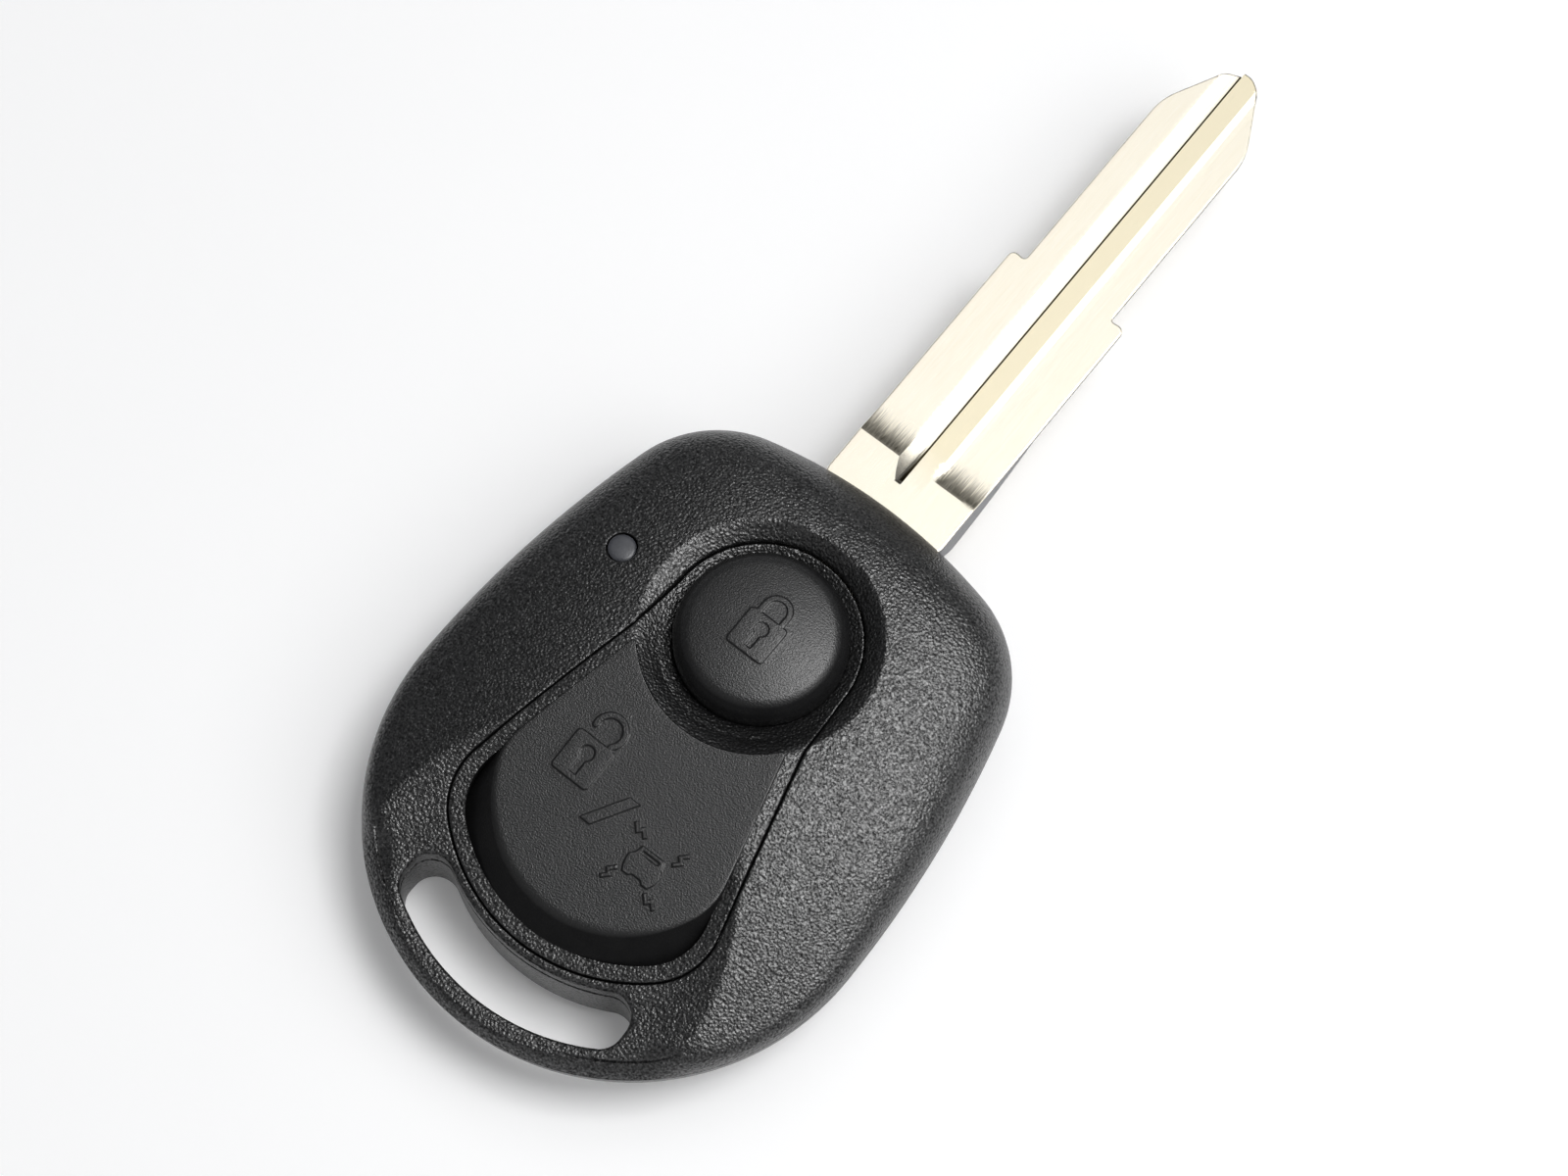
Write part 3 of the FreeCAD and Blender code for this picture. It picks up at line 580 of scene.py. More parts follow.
# Lower shell. The back half of the head, in the same black plastic: rounded sides, a very
# shallow back that ends in a small flat, two recesses for the case screws and the
# other end of the keyring slot.
lower_rise = 7.4
back_y = -20.0
back_long_radius = 160.0
back_cross_radius = 90.0
back_flat_depth = 0.25
back_blend = 0.8
screw_places = ((-12.0, -6.9), (12.0, -6.9))
screw_hole_radius = 1.85
lower_spacing = 0.5


def back_z(x, y):
    """Height of the head's underside."""
    inset = inset_of(x, y)
    side = join_z - edge_rise(inset, lower_rise)
    dome = -barrel_z(x, y, back_y, back_flat_depth, back_long_radius, back_cross_radius)
    return np.maximum(-soft_low(-side, -dome, back_blend), 0)


screw_holes = [circle_loop(p, screw_hole_radius, 40) for p in screw_places]
lower_holes = [slot_loop(0.0)] + screw_holes
lower_lines = [head_loop(d) for d in edge_steps]
lower_lines += [slot_loop(slot_round * s) for s in round_shares]
lower_lines += [circle_loop(p, screw_hole_radius + seam_round * s, 40) for p in screw_places
                for s in round_shares]


def lower_top(plan):
    """Back skin, rounded where it meets the slot and the screws' recesses."""
    z = np.minimum(back_z(*plan.T), join_z - join_groove)
    for loop, radius in zip(lower_holes, (slot_round, seam_round, seam_round)):
        z = z + rounded_off(loop_distance(plan, loop), radius)
    return z


def lower_under(plan):
    end_z = join_z - join_gap
    return np.where(by_slot(plan), end_z, np.minimum(back_z(*plan.T) + wall, end_z))


slot_wall_lines = [slot_loop(slot_wall), slot_loop(slot_wall + slot_wall_foot)]
points, faces = plan_body(
    head_loop(0.0), lower_holes, lower_lines, lower_spacing, lower_top,
    head_loop(join_groove), slot_wall_lines, inside_spacing, lower_under,
    [slot_loop(slot_groove)] + screw_holes, join_z - slot_groove)
lower_skin = make_mesh("lower_shell_skin", points, faces, shell_plastic)
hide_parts("lower_shell")
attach(lower_skin, "root")

# Button pad. One moulding of black silicone rubber behind the upper shell, flush with it: a
# ring round the lock button and a rim round the large button. The thin webs that join it to both buttons are
# left out; the buttons are separate pieces.
pad_depth = 0.8
pad_sink = 0.1
pad_cone_x = (4.5, 6.5)
pad_face_y = crown_y - dish_radius + 1.0
pad_cone_radii = (6.7, 7.0, 7.25, 7.4, 7.5, 7.6, 7.8, 8.2, 8.6)
pad_spacing = 0.4
pad_under_spacing = 1.2
lock_radius = 6.4
button_line = 0.03
lock_gap = 0.04
bell_rim = 1.0
bell_arch = 8.95
bell_draft = 0.02
bell_end_slope = 1.0
bell_foot_z = 8.0
bell_foot_radius = pad_end_radius - bell_rim
bell_top_y = -21.1
bell_top_z = 12.6
bell_slope = 0.148
bell_tip_cut = 0.7
bell_round = (0.12, 0.5)
bell_round_y = (-27.0, -38.0)
bell_foot_corner = pad_corner_radius - bell_rim * 0.6
bell_crest_corner = 3.4
bell_hole_inset = bell_rim + 0.2
bell_hole_radius = bell_foot_radius - 0.25


def bell_plane(y):
    """Height of the large button's tilted face."""
    return bell_top_z + (y - bell_top_y) * bell_slope


def soft_corner(start, corner, stop, share):
    """Point at a share of the way from start to stop, rounding a corner."""
    return (1 - share) ** 2 * start + 2 * share * (1 - share) * corner + share ** 2 * stop


def bell_loop(inset, foot_radius, arch, radius=bell_foot_corner):
    """Bell outline: hollow arch round the lock button, flanks, rounded foot."""
    button_centre = np.array([0.0, crown_y])
    start = pad_kink - flank_out * inset
    tip = flank_meets(start, button_centre, arch)
    corner = flank_meets(start - flank_out * radius, foot_centre, foot_radius - radius)
    stop = math.atan2(tip[1] - crown_y, tip[0]) - bell_tip_cut / arch
    arch_end = np.array([arch * math.cos(stop), crown_y + arch * math.sin(stop)])
    flank_start = tip + flank_way * bell_tip_cut
    share = np.linspace(0, 1, 12, endpoint=False)[:, None]
    right = np.concatenate([
        arc_run(button_centre, arch, -math.pi / 2, stop, 40),
        soft_corner(arch_end, tip, flank_start, share),
        foot_run(flank_start, corner, radius, foot_radius, 56, 30)])
    return both_sides(right)[::-1]


def pad_skin_z(x, y):
    """Height of the pad: the head's skin, with a cone that ends at the large button's arch."""
    skin = head_top_z(x, y)
    face = bell_plane(y) - pad_sink
    reach = np.clip((np.hypot(x, y - crown_y) - dish_radius) / (bell_arch - dish_radius), 0, 1)
    cone = dish_floor_z + (face - dish_floor_z) * reach
    share = (1 - soft_step(*pad_cone_x, np.abs(x))) * ((reach > 0) & (y < crown_y))
    skin = skin + (np.minimum(cone, skin) - skin) * share
    return np.where(y < pad_face_y, np.minimum(skin, face), skin)


pad_edge = pad_loop(seam_gap)
bell_hole = bell_loop(bell_hole_inset, bell_hole_radius, bell_arch)
pad_holes = [circle_loop((0, crown_y), lock_radius + lock_gap, 150), bell_hole]


def pad_top(plan):
    """The pad's face, rounded at the seam."""
    z = pad_skin_z(*plan.T)
    return z - rounded_off(loop_distance(plan, pad_edge), seam_round)


def pad_under(plan):
    """The pad's underside, which follows its face."""
    return pad_skin_z(*plan.T) - pad_depth


rubber_black = (0.006, 0.006, 0.0063)
rubber_bloom = (0.009, 0.009, 0.0093)


def silicone():
    """Matt black silicone with a very fine bloom; its steep sides are duller than its faces."""
    material, shader = new_material("black_silicone")
    place, patches = noise_nodes(material, 400.0, 3.0, 0.6)
    spot = place.outputs["Object"]
    grain = add_node(material, "TexNoise", {"Vector": spot, "Scale": 8000.0, "Detail": 2.0}).outputs["Fac"]
    facing = add_node(material, "SeparateXYZ", {"Vector": place.outputs["Normal"]})
    set_inputs(material, shader, {
        "Base Color": ramp(material, patches.outputs["Fac"], rubber_black, rubber_bloom),
        "Roughness": value_range(material, grain, 0.3, 0.4),
        "Specular IOR Level": value_range(material, facing.outputs["Z"], 0.1, 0.78, 0.74, 0.95),
        "Normal": add_bump(material, grain, 0.00004)})
    return material


pad_rubber = silicone()
pad_lines = [pad_loop(seam_gap + seam_round * s) for s in round_shares]
pad_lines += [circle_loop((0, crown_y), r, 130) for r in pad_cone_radii]
points, faces = plan_body(pad_edge, pad_holes, pad_lines, pad_spacing, pad_top,
                          pad_edge, [], pad_under_spacing, pad_under)
pad_skin = make_mesh("button_pad_skin", points, faces, spark_plastic("spark_rubber"))
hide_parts("button_pad")
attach(pad_skin, "root")

# Lock button. A round cap of the same rubber with a softly domed face and a rounded shoulder;
# a closed padlock stands a tenth of a millimetre proud of it.
lock_edge_z = 13.1
lock_crown_z = 13.9
lock_round = 1.3
lock_foot_z = 9.65
icon_height = 0.09
icon_soft = 0.07
icon_step = 0.1
icon_offsets = (-0.1, -0.055, 0.0, 0.055, 0.1)


def emboss(plan, shapes):
    """Raised outlines: each shape is a closed loop and whether it stands out or is sunk again."""
    lift = np.zeros(len(plan))
    for loop, raised in shapes:
        inside = inside_loop(plan, loop)
        distance = np.where(inside, 1, -1) * loop_distance(plan, loop)
        share = soft_step(-icon_soft, icon_soft, distance)
        lift = np.maximum(lift, share) if raised else np.minimum(lift, 1 - share)
    return icon_height * lift


def icon_lines(shapes):
    """Points beside the outlines, so that the relief has its own edges in the mesh."""
    lines = []
    for loop, _ in shapes:
        steps = []
        for a, b in zip(loop, np.roll(loop, -1, axis=0)):
            count = max(1, round(float(np.hypot(*(b - a))) / icon_step))
            steps.append(straight_run(a, b, count))
        fine = np.concatenate(steps)
        along = np.roll(fine, -1, axis=0) - np.roll(fine, 1, axis=0)
        length = np.maximum(np.hypot(*along.T), 1e-9)
        normal = np.column_stack([along[:, 1], -along[:, 0]]) / length[:, None]
        lines += [fine + normal * offset for offset in icon_offsets]
    return lines


def rounded_box(low, high, radius):
    """Box with rounded corners, from its upper right one on."""
    (left, lower), (right, upper) = np.array(low) + radius, np.array(high) - radius
    corners = ((right, upper), (left, upper), (left, lower), (right, lower))
    quarter = math.pi / 2
    return np.concatenate([arc_run(corner, radius, k * quarter, (k + 1) * quarter, 5)
                           for k, corner in enumerate(corners)])


def key_hole(place, radius, stem, width):
    """Round keyhole with a straight stem below it."""
    half = width / 2
    open_angle = math.asin(half / radius)
    x, y = place
    return np.concatenate([
        arc_run(place, radius, -math.pi / 2 + open_angle, 1.5 * math.pi - open_angle, 18),
        [[x - half, y - math.sqrt(radius ** 2 - half ** 2)], [x - half, y - stem], [x + half, y - stem]]])


def shackle(place, radius, width, foot):
    """Bent bar of the padlock: an arch with a straight leg on each side."""
    outer = radius + width / 2
    inner = radius - width / 2
    x, y = place
    return np.concatenate([
        [[x + outer, foot]], arc_run(place, outer, 0, math.pi, 16),
        [[x - outer, y], [x - outer, foot], [x - inner, foot], [x - inner, y]],
        arc_run(place, inner, math.pi, 0, 16)[1:], [[x + inner, y], [x + inner, foot]]])


lock_icon = [
    (rounded_box((-1.55, -17.03), (1.73, -13.85), 0.35), True),
    (shackle((0.08, -13.13), 0.99, 0.42, -13.95), True),
    (key_hole((0.1, -14.92), 0.56, 1.6, 0.5), False),
]
lock_ball = (lock_radius ** 2 + (lock_crown_z - lock_edge_z) ** 2) / (2 * (lock_crown_z - lock_edge_z))


def lock_dome(plan):
    """The dome of the lock button's face."""
    away = np.hypot(plan[:, 0], plan[:, 1] - crown_y)
    return lock_crown_z - lock_ball + np.sqrt(lock_ball ** 2 - away ** 2)


def lock_top(plan):
    """The dome with its rounded shoulder and the padlock."""
    away = lock_radius - np.hypot(plan[:, 0], plan[:, 1] - crown_y)
    return lock_dome(plan) - rounded_off(away, lock_round) + emboss(plan, lock_icon)


def lock_under(plan):
    """The lock button's flat underside."""
    return np.full(len(plan), lock_foot_z)


lock_spacing = 0.4
lock_under_spacing = 1.5
lock_edge = circle_loop((0, crown_y), lock_radius, 150)
lock_steps = [lock_round * (1 - math.cos(math.radians(9 * k))) for k in range(1, 11)]
lock_lines = [circle_loop((0, crown_y), lock_radius - step, 150) for step in lock_steps]
lock_lines += icon_lines(lock_icon)
points, faces = plan_body(lock_edge, [], lock_lines, lock_spacing, lock_top,
                          lock_edge, [], lock_under_spacing, lock_under)
lock_cap = make_mesh("lock_button_cap", points, faces, pad_rubber)
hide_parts("lock_button")
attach(lock_cap, "lock_button")

# Unlock button. The large bell-shaped cap, of the same moulding: its face tilts down towards
# the ring end, its flanks are steep and its foot slopes at forty-five degrees. It carries an
# open padlock, a stroke and a car with flashing lamps, all generic.
bell_low_z = 7.2
bell_under_z = 7.8
bell_roof_z = 9.0
bell_hollow_share = 0.86
bell_face_spacing = 0.45
bell_middle_height = 4.0


def turned(points, centre, angle):
    """Points turned about a centre."""
    away = np.asarray(points, dtype=float) - centre
    c = math.cos(angle)
    s = math.sin(angle)
    return np.column_stack([away[:, 0] * c - away[:, 1] * s, away[:, 0] * s + away[:, 1] * c]) + centre


def flash_mark(reach, angle):
    """Small zigzag at a distance from the car's middle, along a ray from it."""
    zigzag = np.array([(-0.65, -0.36), (0.15, -0.36), (0.15, 0.08), (0.65, 0.08),
                       (0.65, 0.36), (-0.15, 0.36), (-0.15, -0.08), (-0.65, -0.08)])
    return turned(zigzag + (reach, 0.0), np.zeros(2), angle) + car_middle


def open_shackle(place, radius, width, start, stop):
    """Bent bar swung open: a part of a ring with round ends."""
    end = np.array(place) + radius * np.array([math.cos(stop), math.sin(stop)])
    root = np.array(place) + radius * np.array([math.cos(start), math.sin(start)])
    return np.concatenate([
        arc_run(place, radius + width / 2, start, stop, 22),
        arc_run(end, width / 2, stop, stop + math.pi, 6),
        arc_run(place, radius - width / 2, stop, start, 22),
        arc_run(root, width / 2, start + math.pi, start + 2 * math.pi, 6)])


car_middle = np.array([3.97, -33.05])
car_half = np.array([(0.0, -1.0), (0.38, -1.0), (0.62, -1.22), (1.12, -1.22), (1.38, -0.7),
                     (1.5, 0.05), (1.14, 0.5), (0.98, 1.05), (0.0, 1.05)])
car_outline = both_sides(car_half) + car_middle
stroke_ends = np.array([(-1.52, -33.1), (0.55, -29.87)])
stroke_side = np.array([-0.47, 0.0])
bell_icon = [
    (rounded_box((-6.0, -31.45), (-2.72, -28.05), 0.35), True),
    (open_shackle((-4.05, -27.05), 1.17, 0.45, math.radians(-48), math.radians(188)), True),
    (key_hole((-4.38, -29.25), 0.58, 1.7, 0.58), False),
    (np.array([stroke_ends[0] + stroke_side, stroke_ends[0] - stroke_side,
               stroke_ends[1] - stroke_side, stroke_ends[1] + stroke_side]), True),
    (car_outline, True),
    (rounded_box(car_middle + (-0.75, 0.52), car_middle + (0.75, 0.78), 0.1), False),
] + [(flash_mark(2.58, math.radians(angle)), True) for angle in (45, 135, 225, 315)]


def bell_rings():
    """The cap's lowest loop, clear of the parts under it when pressed, and its sharp top edge."""
    arch = bell_arch + button_line
    foot = bell_loop(bell_rim, bell_foot_radius + (bell_foot_z - bell_low_z), arch)
    middle = bell_loop(bell_rim + bell_draft * bell_middle_height, bell_foot_radius, arch, bell_crest_corner)
    top_z = bell_plane(middle[:, 1])
    for _ in range(3):
        crest = np.array([
            bell_loop(bell_rim + bell_draft * (z - bell_low_z),
                      bell_foot_radius - (z - bell_foot_z) * bell_end_slope, arch, bell_crest_corner)[k]
            for k, z in enumerate(top_z)])
        top_z = bell_plane(crest[:, 1])
    crest = np.column_stack([crest, top_z])
    foot = np.column_stack([foot, np.full(len(foot), bell_low_z)])
    share = (bell_under_z - bell_low_z) / (top_z - bell_low_z)
    return foot + (crest - foot) * share[:, None], crest


def bell_shoulder(crest, foot_ring):
    """Loops round the cap's softened top edge, from its flanks to its face."""
    ahead = np.roll(crest, -1, axis=0) - np.roll(crest, 1, axis=0)
    inward = np.column_stack([ahead[:, 1], -ahead[:, 0]])
    inward = inward / np.hypot(*inward.T)[:, None]
    if (inward * (crest[:, :2] - crest[:, :2].mean(axis=0))).sum() > 0:
        inward = -inward
    edge = bell_round[0] + (bell_round[1] - bell_round[0]) * soft_step(*bell_round_y, crest[:, 1])[:, None]
    down = foot_ring - crest
    down = down / np.linalg.norm(down, axis=1)[:, None]
    across = np.column_stack([inward, inward[:, 1] * bell_slope])
    return [soft_corner(crest + down * edge, crest, crest + across * edge, share)
            for share in np.linspace(0, 1, 8)]


def bell_body():
    """The cap's face, its shoulder and flanks, and its hollowed underside."""
    foot_ring, crest = bell_rings()
    shoulder = bell_shoulder(crest, foot_ring)
    middle = foot_ring.mean(axis=0)
    lip_ring = middle + (foot_ring - middle) * bell_hollow_share
    roof_ring = lip_ring + (0, 0, bell_roof_z - bell_under_z)
    face_edge = shoulder[-1][:, :2]
    plan, triangles, loops = plan_mesh(face_edge, [], icon_lines(bell_icon) + [face_edge], bell_face_spacing)
    points = [np.column_stack([plan, bell_plane(plan[:, 1]) + emboss(plan, bell_icon)])]
    faces = [tuple(f) for f in triangles]
    previous = loops[0]
    total = len(plan)
    for ring in shoulder[-2::-1] + [foot_ring, lip_ring, roof_ring]:
        points.append(ring)
        numbers = list(range(total, total + len(ring)))
        faces += wall_between(previous, numbers)
        previous = numbers
        total += len(ring)
    return np.concatenate(points), faces + [tuple(previous)]


bell_cap = make_mesh("unlock_button_cap", *bell_body(), pad_rubber)
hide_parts("unlock_button")
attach(bell_cap, "unlock_button")

# Blade. A stamped nickel-plated blank held by its pin: its flanks and a groove are milled
# along it, so the run-outs at the head show the cutter's fine arcs, and its sheared sides
# stay dull. A deep cut under its right edge leaves only a thin lip there. The plate's colour
# carries painted shade on the run-out slopes and in the groove's corner.
blade_top_z = 8.0
blade_low_z = 5.0
blade_half_width = 5.3
blade_step_y = 22.3
blade_step_length = 0.25
blade_bit_half_width = 4.03
blade_chamfer_y = 39.25
blade_nose_half_width = 1.5
blade_nose_y = 44.1
blade_tip_half_width = 0.55
blade_reach = 44.748
blade_corners = (0.2, 0.4, 0.4, 0.8, 0.45, 1.3, 0.5, 0.4)
blade_edge_round = 0.1
blade_root_taper = 0.5
blade_root_y = -0.5
blade_taper_y = 1.2
blade_spacing = 0.3
blade_under_spacing = 0.5
tang_length = 8.6
tang_half_width = 4.4
tang_shoulder_y = -1.9
cutter_radius = 14.0
flank_depth = 0.3
flank_right_x = 1.36
flank_start_y = 3.6
flank_step = 0.5
flank_line_x = (-5.2, 4.2)
groove_left_x = -1.65
groove_floor_x = -0.72
groove_right_x = -0.2
groove_shade_x = -0.5
groove_slope_x = (-1.45, -1.2, -0.95)
groove_lead = 0.3
groove_run_on = 1.2
groove_run_step = 0.1
groove_depth = 0.8
groove_start_y = 1.86
under_depth = 2.3
under_run = 9.5
under_bend = 1.5
under_inner_x = 2.2
under_start_y = 1.5
pin_hole = (0.0, -5.0)
pin_hole_radius = 1.24
step_line = 0.012
step_spacing = 0.12


def rounded_run(points, radii, spacing):
    """Open path through points with rounded corners, with its last point."""
    points = np.array(points, dtype=float)
    pieces = [points[:1]]
    share = np.linspace(0, 1, 9)[:, None]
    for before, here, after, radius in zip(points[:-2], points[1:-1], points[2:], radii):
        back_way = (before - here) / np.hypot(*(before - here))
        on_way = (after - here) / np.hypot(*(after - here))
        pieces.append(soft_corner(here + back_way * radius, here, here + on_way * radius, share))
    corners = np.concatenate(pieces + [points[-1:]])
    runs = [straight_run(a, b, max(1, round(float(np.hypot(*(b - a))) / spacing)))
            for a, b in zip(corners[:-1], corners[1:])]
    return np.concatenate(runs + [corners[-1:]])


def blade_loop():
    """Outline of the blank: tang, shoulders, wide root, step, bit and pointed nose."""
    half = blade_half_width
    right = rounded_run([
        (tang_half_width, -tang_length), (tang_half_width, tang_shoulder_y),
        (half, blade_root_y), (half, -2 * blade_root_y), (half, blade_step_y),
        (blade_bit_half_width, blade_step_y - blade_step_length), (blade_bit_half_width, blade_chamfer_y),
        (blade_nose_half_width, blade_nose_y), (blade_tip_half_width, blade_reach), (0.0, blade_reach),
    ], blade_corners, 0.25)
    return np.concatenate([right, mirrored(right[:-1])])


def milled(y, start_y, depth, radius):
    """Depth of a straight cut with the cutter's round run-out."""
    run = math.sqrt(radius ** 2 - (radius - depth) ** 2)
    left = np.clip(start_y + run - y, 0, run)
    return np.maximum(0, np.where(y > start_y, depth - radius + np.sqrt(radius ** 2 - left ** 2), 0))


blade_edge = blade_loop()
root_share = np.clip((blade_taper_y - blade_edge[:, 1]) / (blade_taper_y - blade_root_y), 0, 1) ** 2
root_share = np.where((blade_edge[:, 0] > 0) & (blade_edge[:, 1] > tang_shoulder_y), root_share, 0)
blade_low_edge = blade_edge - np.column_stack([blade_root_taper * root_share, np.zeros(len(blade_edge))])


def drawn_in(loop, distance):
    """A loop moved inwards along its own normals."""
    along = np.roll(loop, -1, axis=0) - np.roll(loop, 1, axis=0)
    normal = np.column_stack([-along[:, 1], along[:, 0]]) / np.hypot(*along.T)[:, None]
    return loop + normal * distance


def blade_top(plan):
    """The blade's face, with its milled flanks and groove."""
    x, y = plan.T
    flank = milled(y, flank_start_y, flank_depth, cutter_radius)
    left = np.where(x < groove_left_x, flank, 0)
    right = np.clip((x - flank_right_x) / flank_step, 0, 1) * flank
    depth = milled(y, groove_start_y, groove_depth, cutter_radius)
    slope = (groove_depth - flank_depth) / (groove_floor_x - groove_left_x)
    valley = np.maximum(0, depth - slope * np.maximum(0, groove_floor_x - x))
    valley = np.where((x > groove_left_x) & (x < groove_right_x), valley, 0)
    z = blade_top_z - np.maximum(np.maximum(left, right), valley)
    return z - rounded_off(loop_distance(plan, blade_edge), blade_edge_round)


def blade_under(plan):
    """The blade's back, with its groove and the deep cut on its right."""
    x, y = plan.T
    share = np.clip((y - under_start_y) / under_run, 0, 1)
    side = np.where(x > under_inner_x, under_depth * share ** under_bend, 0)
    middle = np.where((x > groove_left_x) & (x < groove_right_x),
                      milled(y, groove_start_y, groove_depth, cutter_radius), 0)
    return blade_low_z + np.maximum(side, middle)


def along_blade(x, start_y):
    """Points on both sides of a milled step that runs along the blade."""
    run = np.arange(start_y, blade_reach, step_spacing)
    return [np.column_stack([np.full(len(run), x + side * step_line), run]) for side in (-1, 1)]


def across_blade(y, low_x, high_x):
    """Points on both sides of a step that runs across the blade."""
    run = np.arange(low_x, high_x, step_spacing)
    return [np.column_stack([run, np.full(len(run), y + side * step_line)]) for side in (-1, 1)]


def combine(material, operation, a, b):
    """Result of a sum, product or comparison; a product stays within 0 and 1."""
    node = add_node(material, "Math", {0: a, 1: b}, operation=operation,
                    use_clamp=operation == "MULTIPLY")
    return node.outputs["Value"]


def band(material, source, low, high):
    """One where a source is between two values, and nothing elsewhere."""
    return combine(material, "MULTIPLY", combine(material, "GREATER_THAN", source, low),
                   combine(material, "LESS_THAN", source, high))


plate_dull = (0.87, 0.81, 0.67)
plate_bright = (0.92, 0.87, 0.76)
strip_tan = (0.79, 0.71, 0.5)
# Painted shade colours for the run-out slopes and the groove's corner; the others are the plate's own.
run_out_shade_colour = (0.035, 0.031, 0.02)
groove_corner_shade_colour = (0.05, 0.04, 0.02)
sheared_grey = (0.3, 0.3, 0.31)
hair_scale = (20000.0, 350.0, 100.0)
strip_fade_y = (2.0, 6.0)
shade_margin = 0.01
shade_depth = 0.1
side_facing = 0.4


def plated_nickel():
    """Bright plate, tan on the unmilled strip, striated where the cutter ran out, with painted shade on the
    run-out slopes and in the groove's corner.
    """
    material, shader = new_material("plated_nickel")
    place = add_node(material, "TexCoord", {})
    spot = place.outputs["Object"]
    stretch = add_node(material, "Mapping", {"Vector": spot, "Scale": hair_scale})
    hair = add_node(material, "TexNoise", {"Vector": stretch.outputs["Vector"], "Scale": 1.0,
                                           "Detail": 3.0, "Roughness": 0.6}).outputs["Fac"]
    facing = add_node(material, "SeparateXYZ", {"Vector": place.outputs["Normal"]}).outputs
    where = add_node(material, "SeparateXYZ", {"Vector": spot}).outputs
    level = value_range(material, facing["Z"], 0.0, 1.0, 0.93, 0.965)
    streak = value_range(material, hair, -0.06, 0.06, 0.3, 0.7)
    # The run-out slopes, picked out by facing up and towards the tip, get a streaked dark colour: painted
    # shade with the cutter's striations in it.
    run_out_shade_mask = value_range(material, combine(material, "ADD", facing["Y"], streak), 0.0, 0.97, 0.05, 0.15)
    for share in (level, value_range(material, hair, 1.0, 0.7, 0.42, 0.62)):
        run_out_shade_mask = combine(material, "MULTIPLY", run_out_shade_mask, share)
    fade_from, fade_to = ((y + front_y) * mm for y in strip_fade_y)
    strip = band(material, where["X"], groove_right_x * mm, flank_right_x * mm)
    for share in (value_range(material, where["Y"], 0.0, 0.75, fade_from, fade_to), level):
        strip = combine(material, "MULTIPLY", strip, share)
    # A narrow band of the groove's floor beside its right wall is painted dark: painted shade in the
    # groove's corner.
    shade = combine(material, "MULTIPLY",
                    band(material, where["X"], groove_shade_x * mm, (groove_right_x + shade_margin) * mm),
                    combine(material, "LESS_THAN", where["Z"], (blade_top_z - shade_depth) * mm))
    upright = add_node(material, "Math", {0: facing["Z"]}, operation="ABSOLUTE").outputs["Value"]
    side = combine(material, "LESS_THAN", upright, side_facing)
    colour = ramp(material, hair, plate_dull, plate_bright)
    for share, over in ((strip, strip_tan), (run_out_shade_mask, run_out_shade_colour), (shade, groove_corner_shade_colour),
                        (side, sheared_grey)):
        colour = add_node(material, "Mix", {0: share, 6: colour, 7: (*over, 1)},
                          data_type="RGBA").outputs[2]
    set_inputs(material, shader, {
        "Base Color": colour,
        "Roughness": combine(material, "ADD", value_range(material, hair, 0.2, 0.3),
                             combine(material, "MULTIPLY", side, 0.35)),
        "Normal": add_bump(material, hair, 0.000003),
        "Metallic": 1.0})
    return material


blade_hole = circle_loop(pin_hole, pin_hole_radius, 40)
groove_x = (groove_left_x, groove_floor_x, groove_right_x)
top_lines = [line for x in groove_x for line in along_blade(x, groove_start_y - groove_lead)]
for x in (*groove_slope_x, groove_shade_x, flank_right_x, flank_right_x + flank_step):
    top_lines.append(along_blade(x, groove_start_y - groove_lead)[0])
top_lines += across_blade(flank_start_y, flank_line_x[0], groove_left_x)
top_lines += across_blade(flank_start_y, flank_right_x, flank_line_x[1])
top_lines += across_blade(groove_start_y, groove_left_x, groove_right_x)
top_lines += [drawn_in(blade_edge, blade_edge_round * share) for share in (0.5, 1.0, 1.6)]
groove_run = np.arange(groove_start_y, flank_start_y + groove_run_on, groove_run_step)
groove_reach = milled(groove_run, groove_start_y, groove_depth, cutter_radius)
groove_reach = groove_reach * (groove_floor_x - groove_left_x) / (groove_depth - flank_depth)
top_lines.append(np.column_stack([groove_floor_x - groove_reach, groove_run]))
under_lines = along_blade(under_inner_x, under_start_y) + along_blade(groove_left_x, groove_start_y)
under_lines += along_blade(groove_right_x, groove_start_y)
points, faces = plan_body(blade_edge, [blade_hole], top_lines, blade_spacing, blade_top,
                          blade_low_edge, under_lines, blade_under_spacing, blade_under)
blade_piece = make_mesh("key_blade_blank", points, faces, plated_nickel(), sharp=25.0)
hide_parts("key_blade")
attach(blade_piece, "root")

# Light window. A small smoked lens pressed in from behind, its domed face just below the
# shell's skin.
lens_radius = 1.04
lens_sink = 0.1
lens_bulge = 0.1
lens_length = 1.6
lens_flange_radius = 1.5
lens_flange_height = 0.4
lens_corner = 0.05
lens_tip = 0.002


def turned_body(name, place, profile, count, material):
    """Closed body turned about an upright axis; the profile runs from the top down."""
    rings = [np.column_stack([circle_loop(place, radius, count), np.full(count, z)])
             for radius, z in profile]
    tip = [[*place, profile[0][1] + lens_tip]]
    foot = [[*place, profile[-1][1]]]
    points = np.concatenate([tip] + rings + [foot])
    last = 1 + (len(rings) - 1) * count
    faces = []
    for k in range(count):
        after = (k + 1) % count
        faces.append((0, 1 + k, 1 + after))
        faces.append((len(points) - 1, last + after, last + k))
        for a in range(1, last, count):
            faces.append((a + k, a + count + k, a + count + after, a + after))
    return make_mesh(name, points, faces, material)


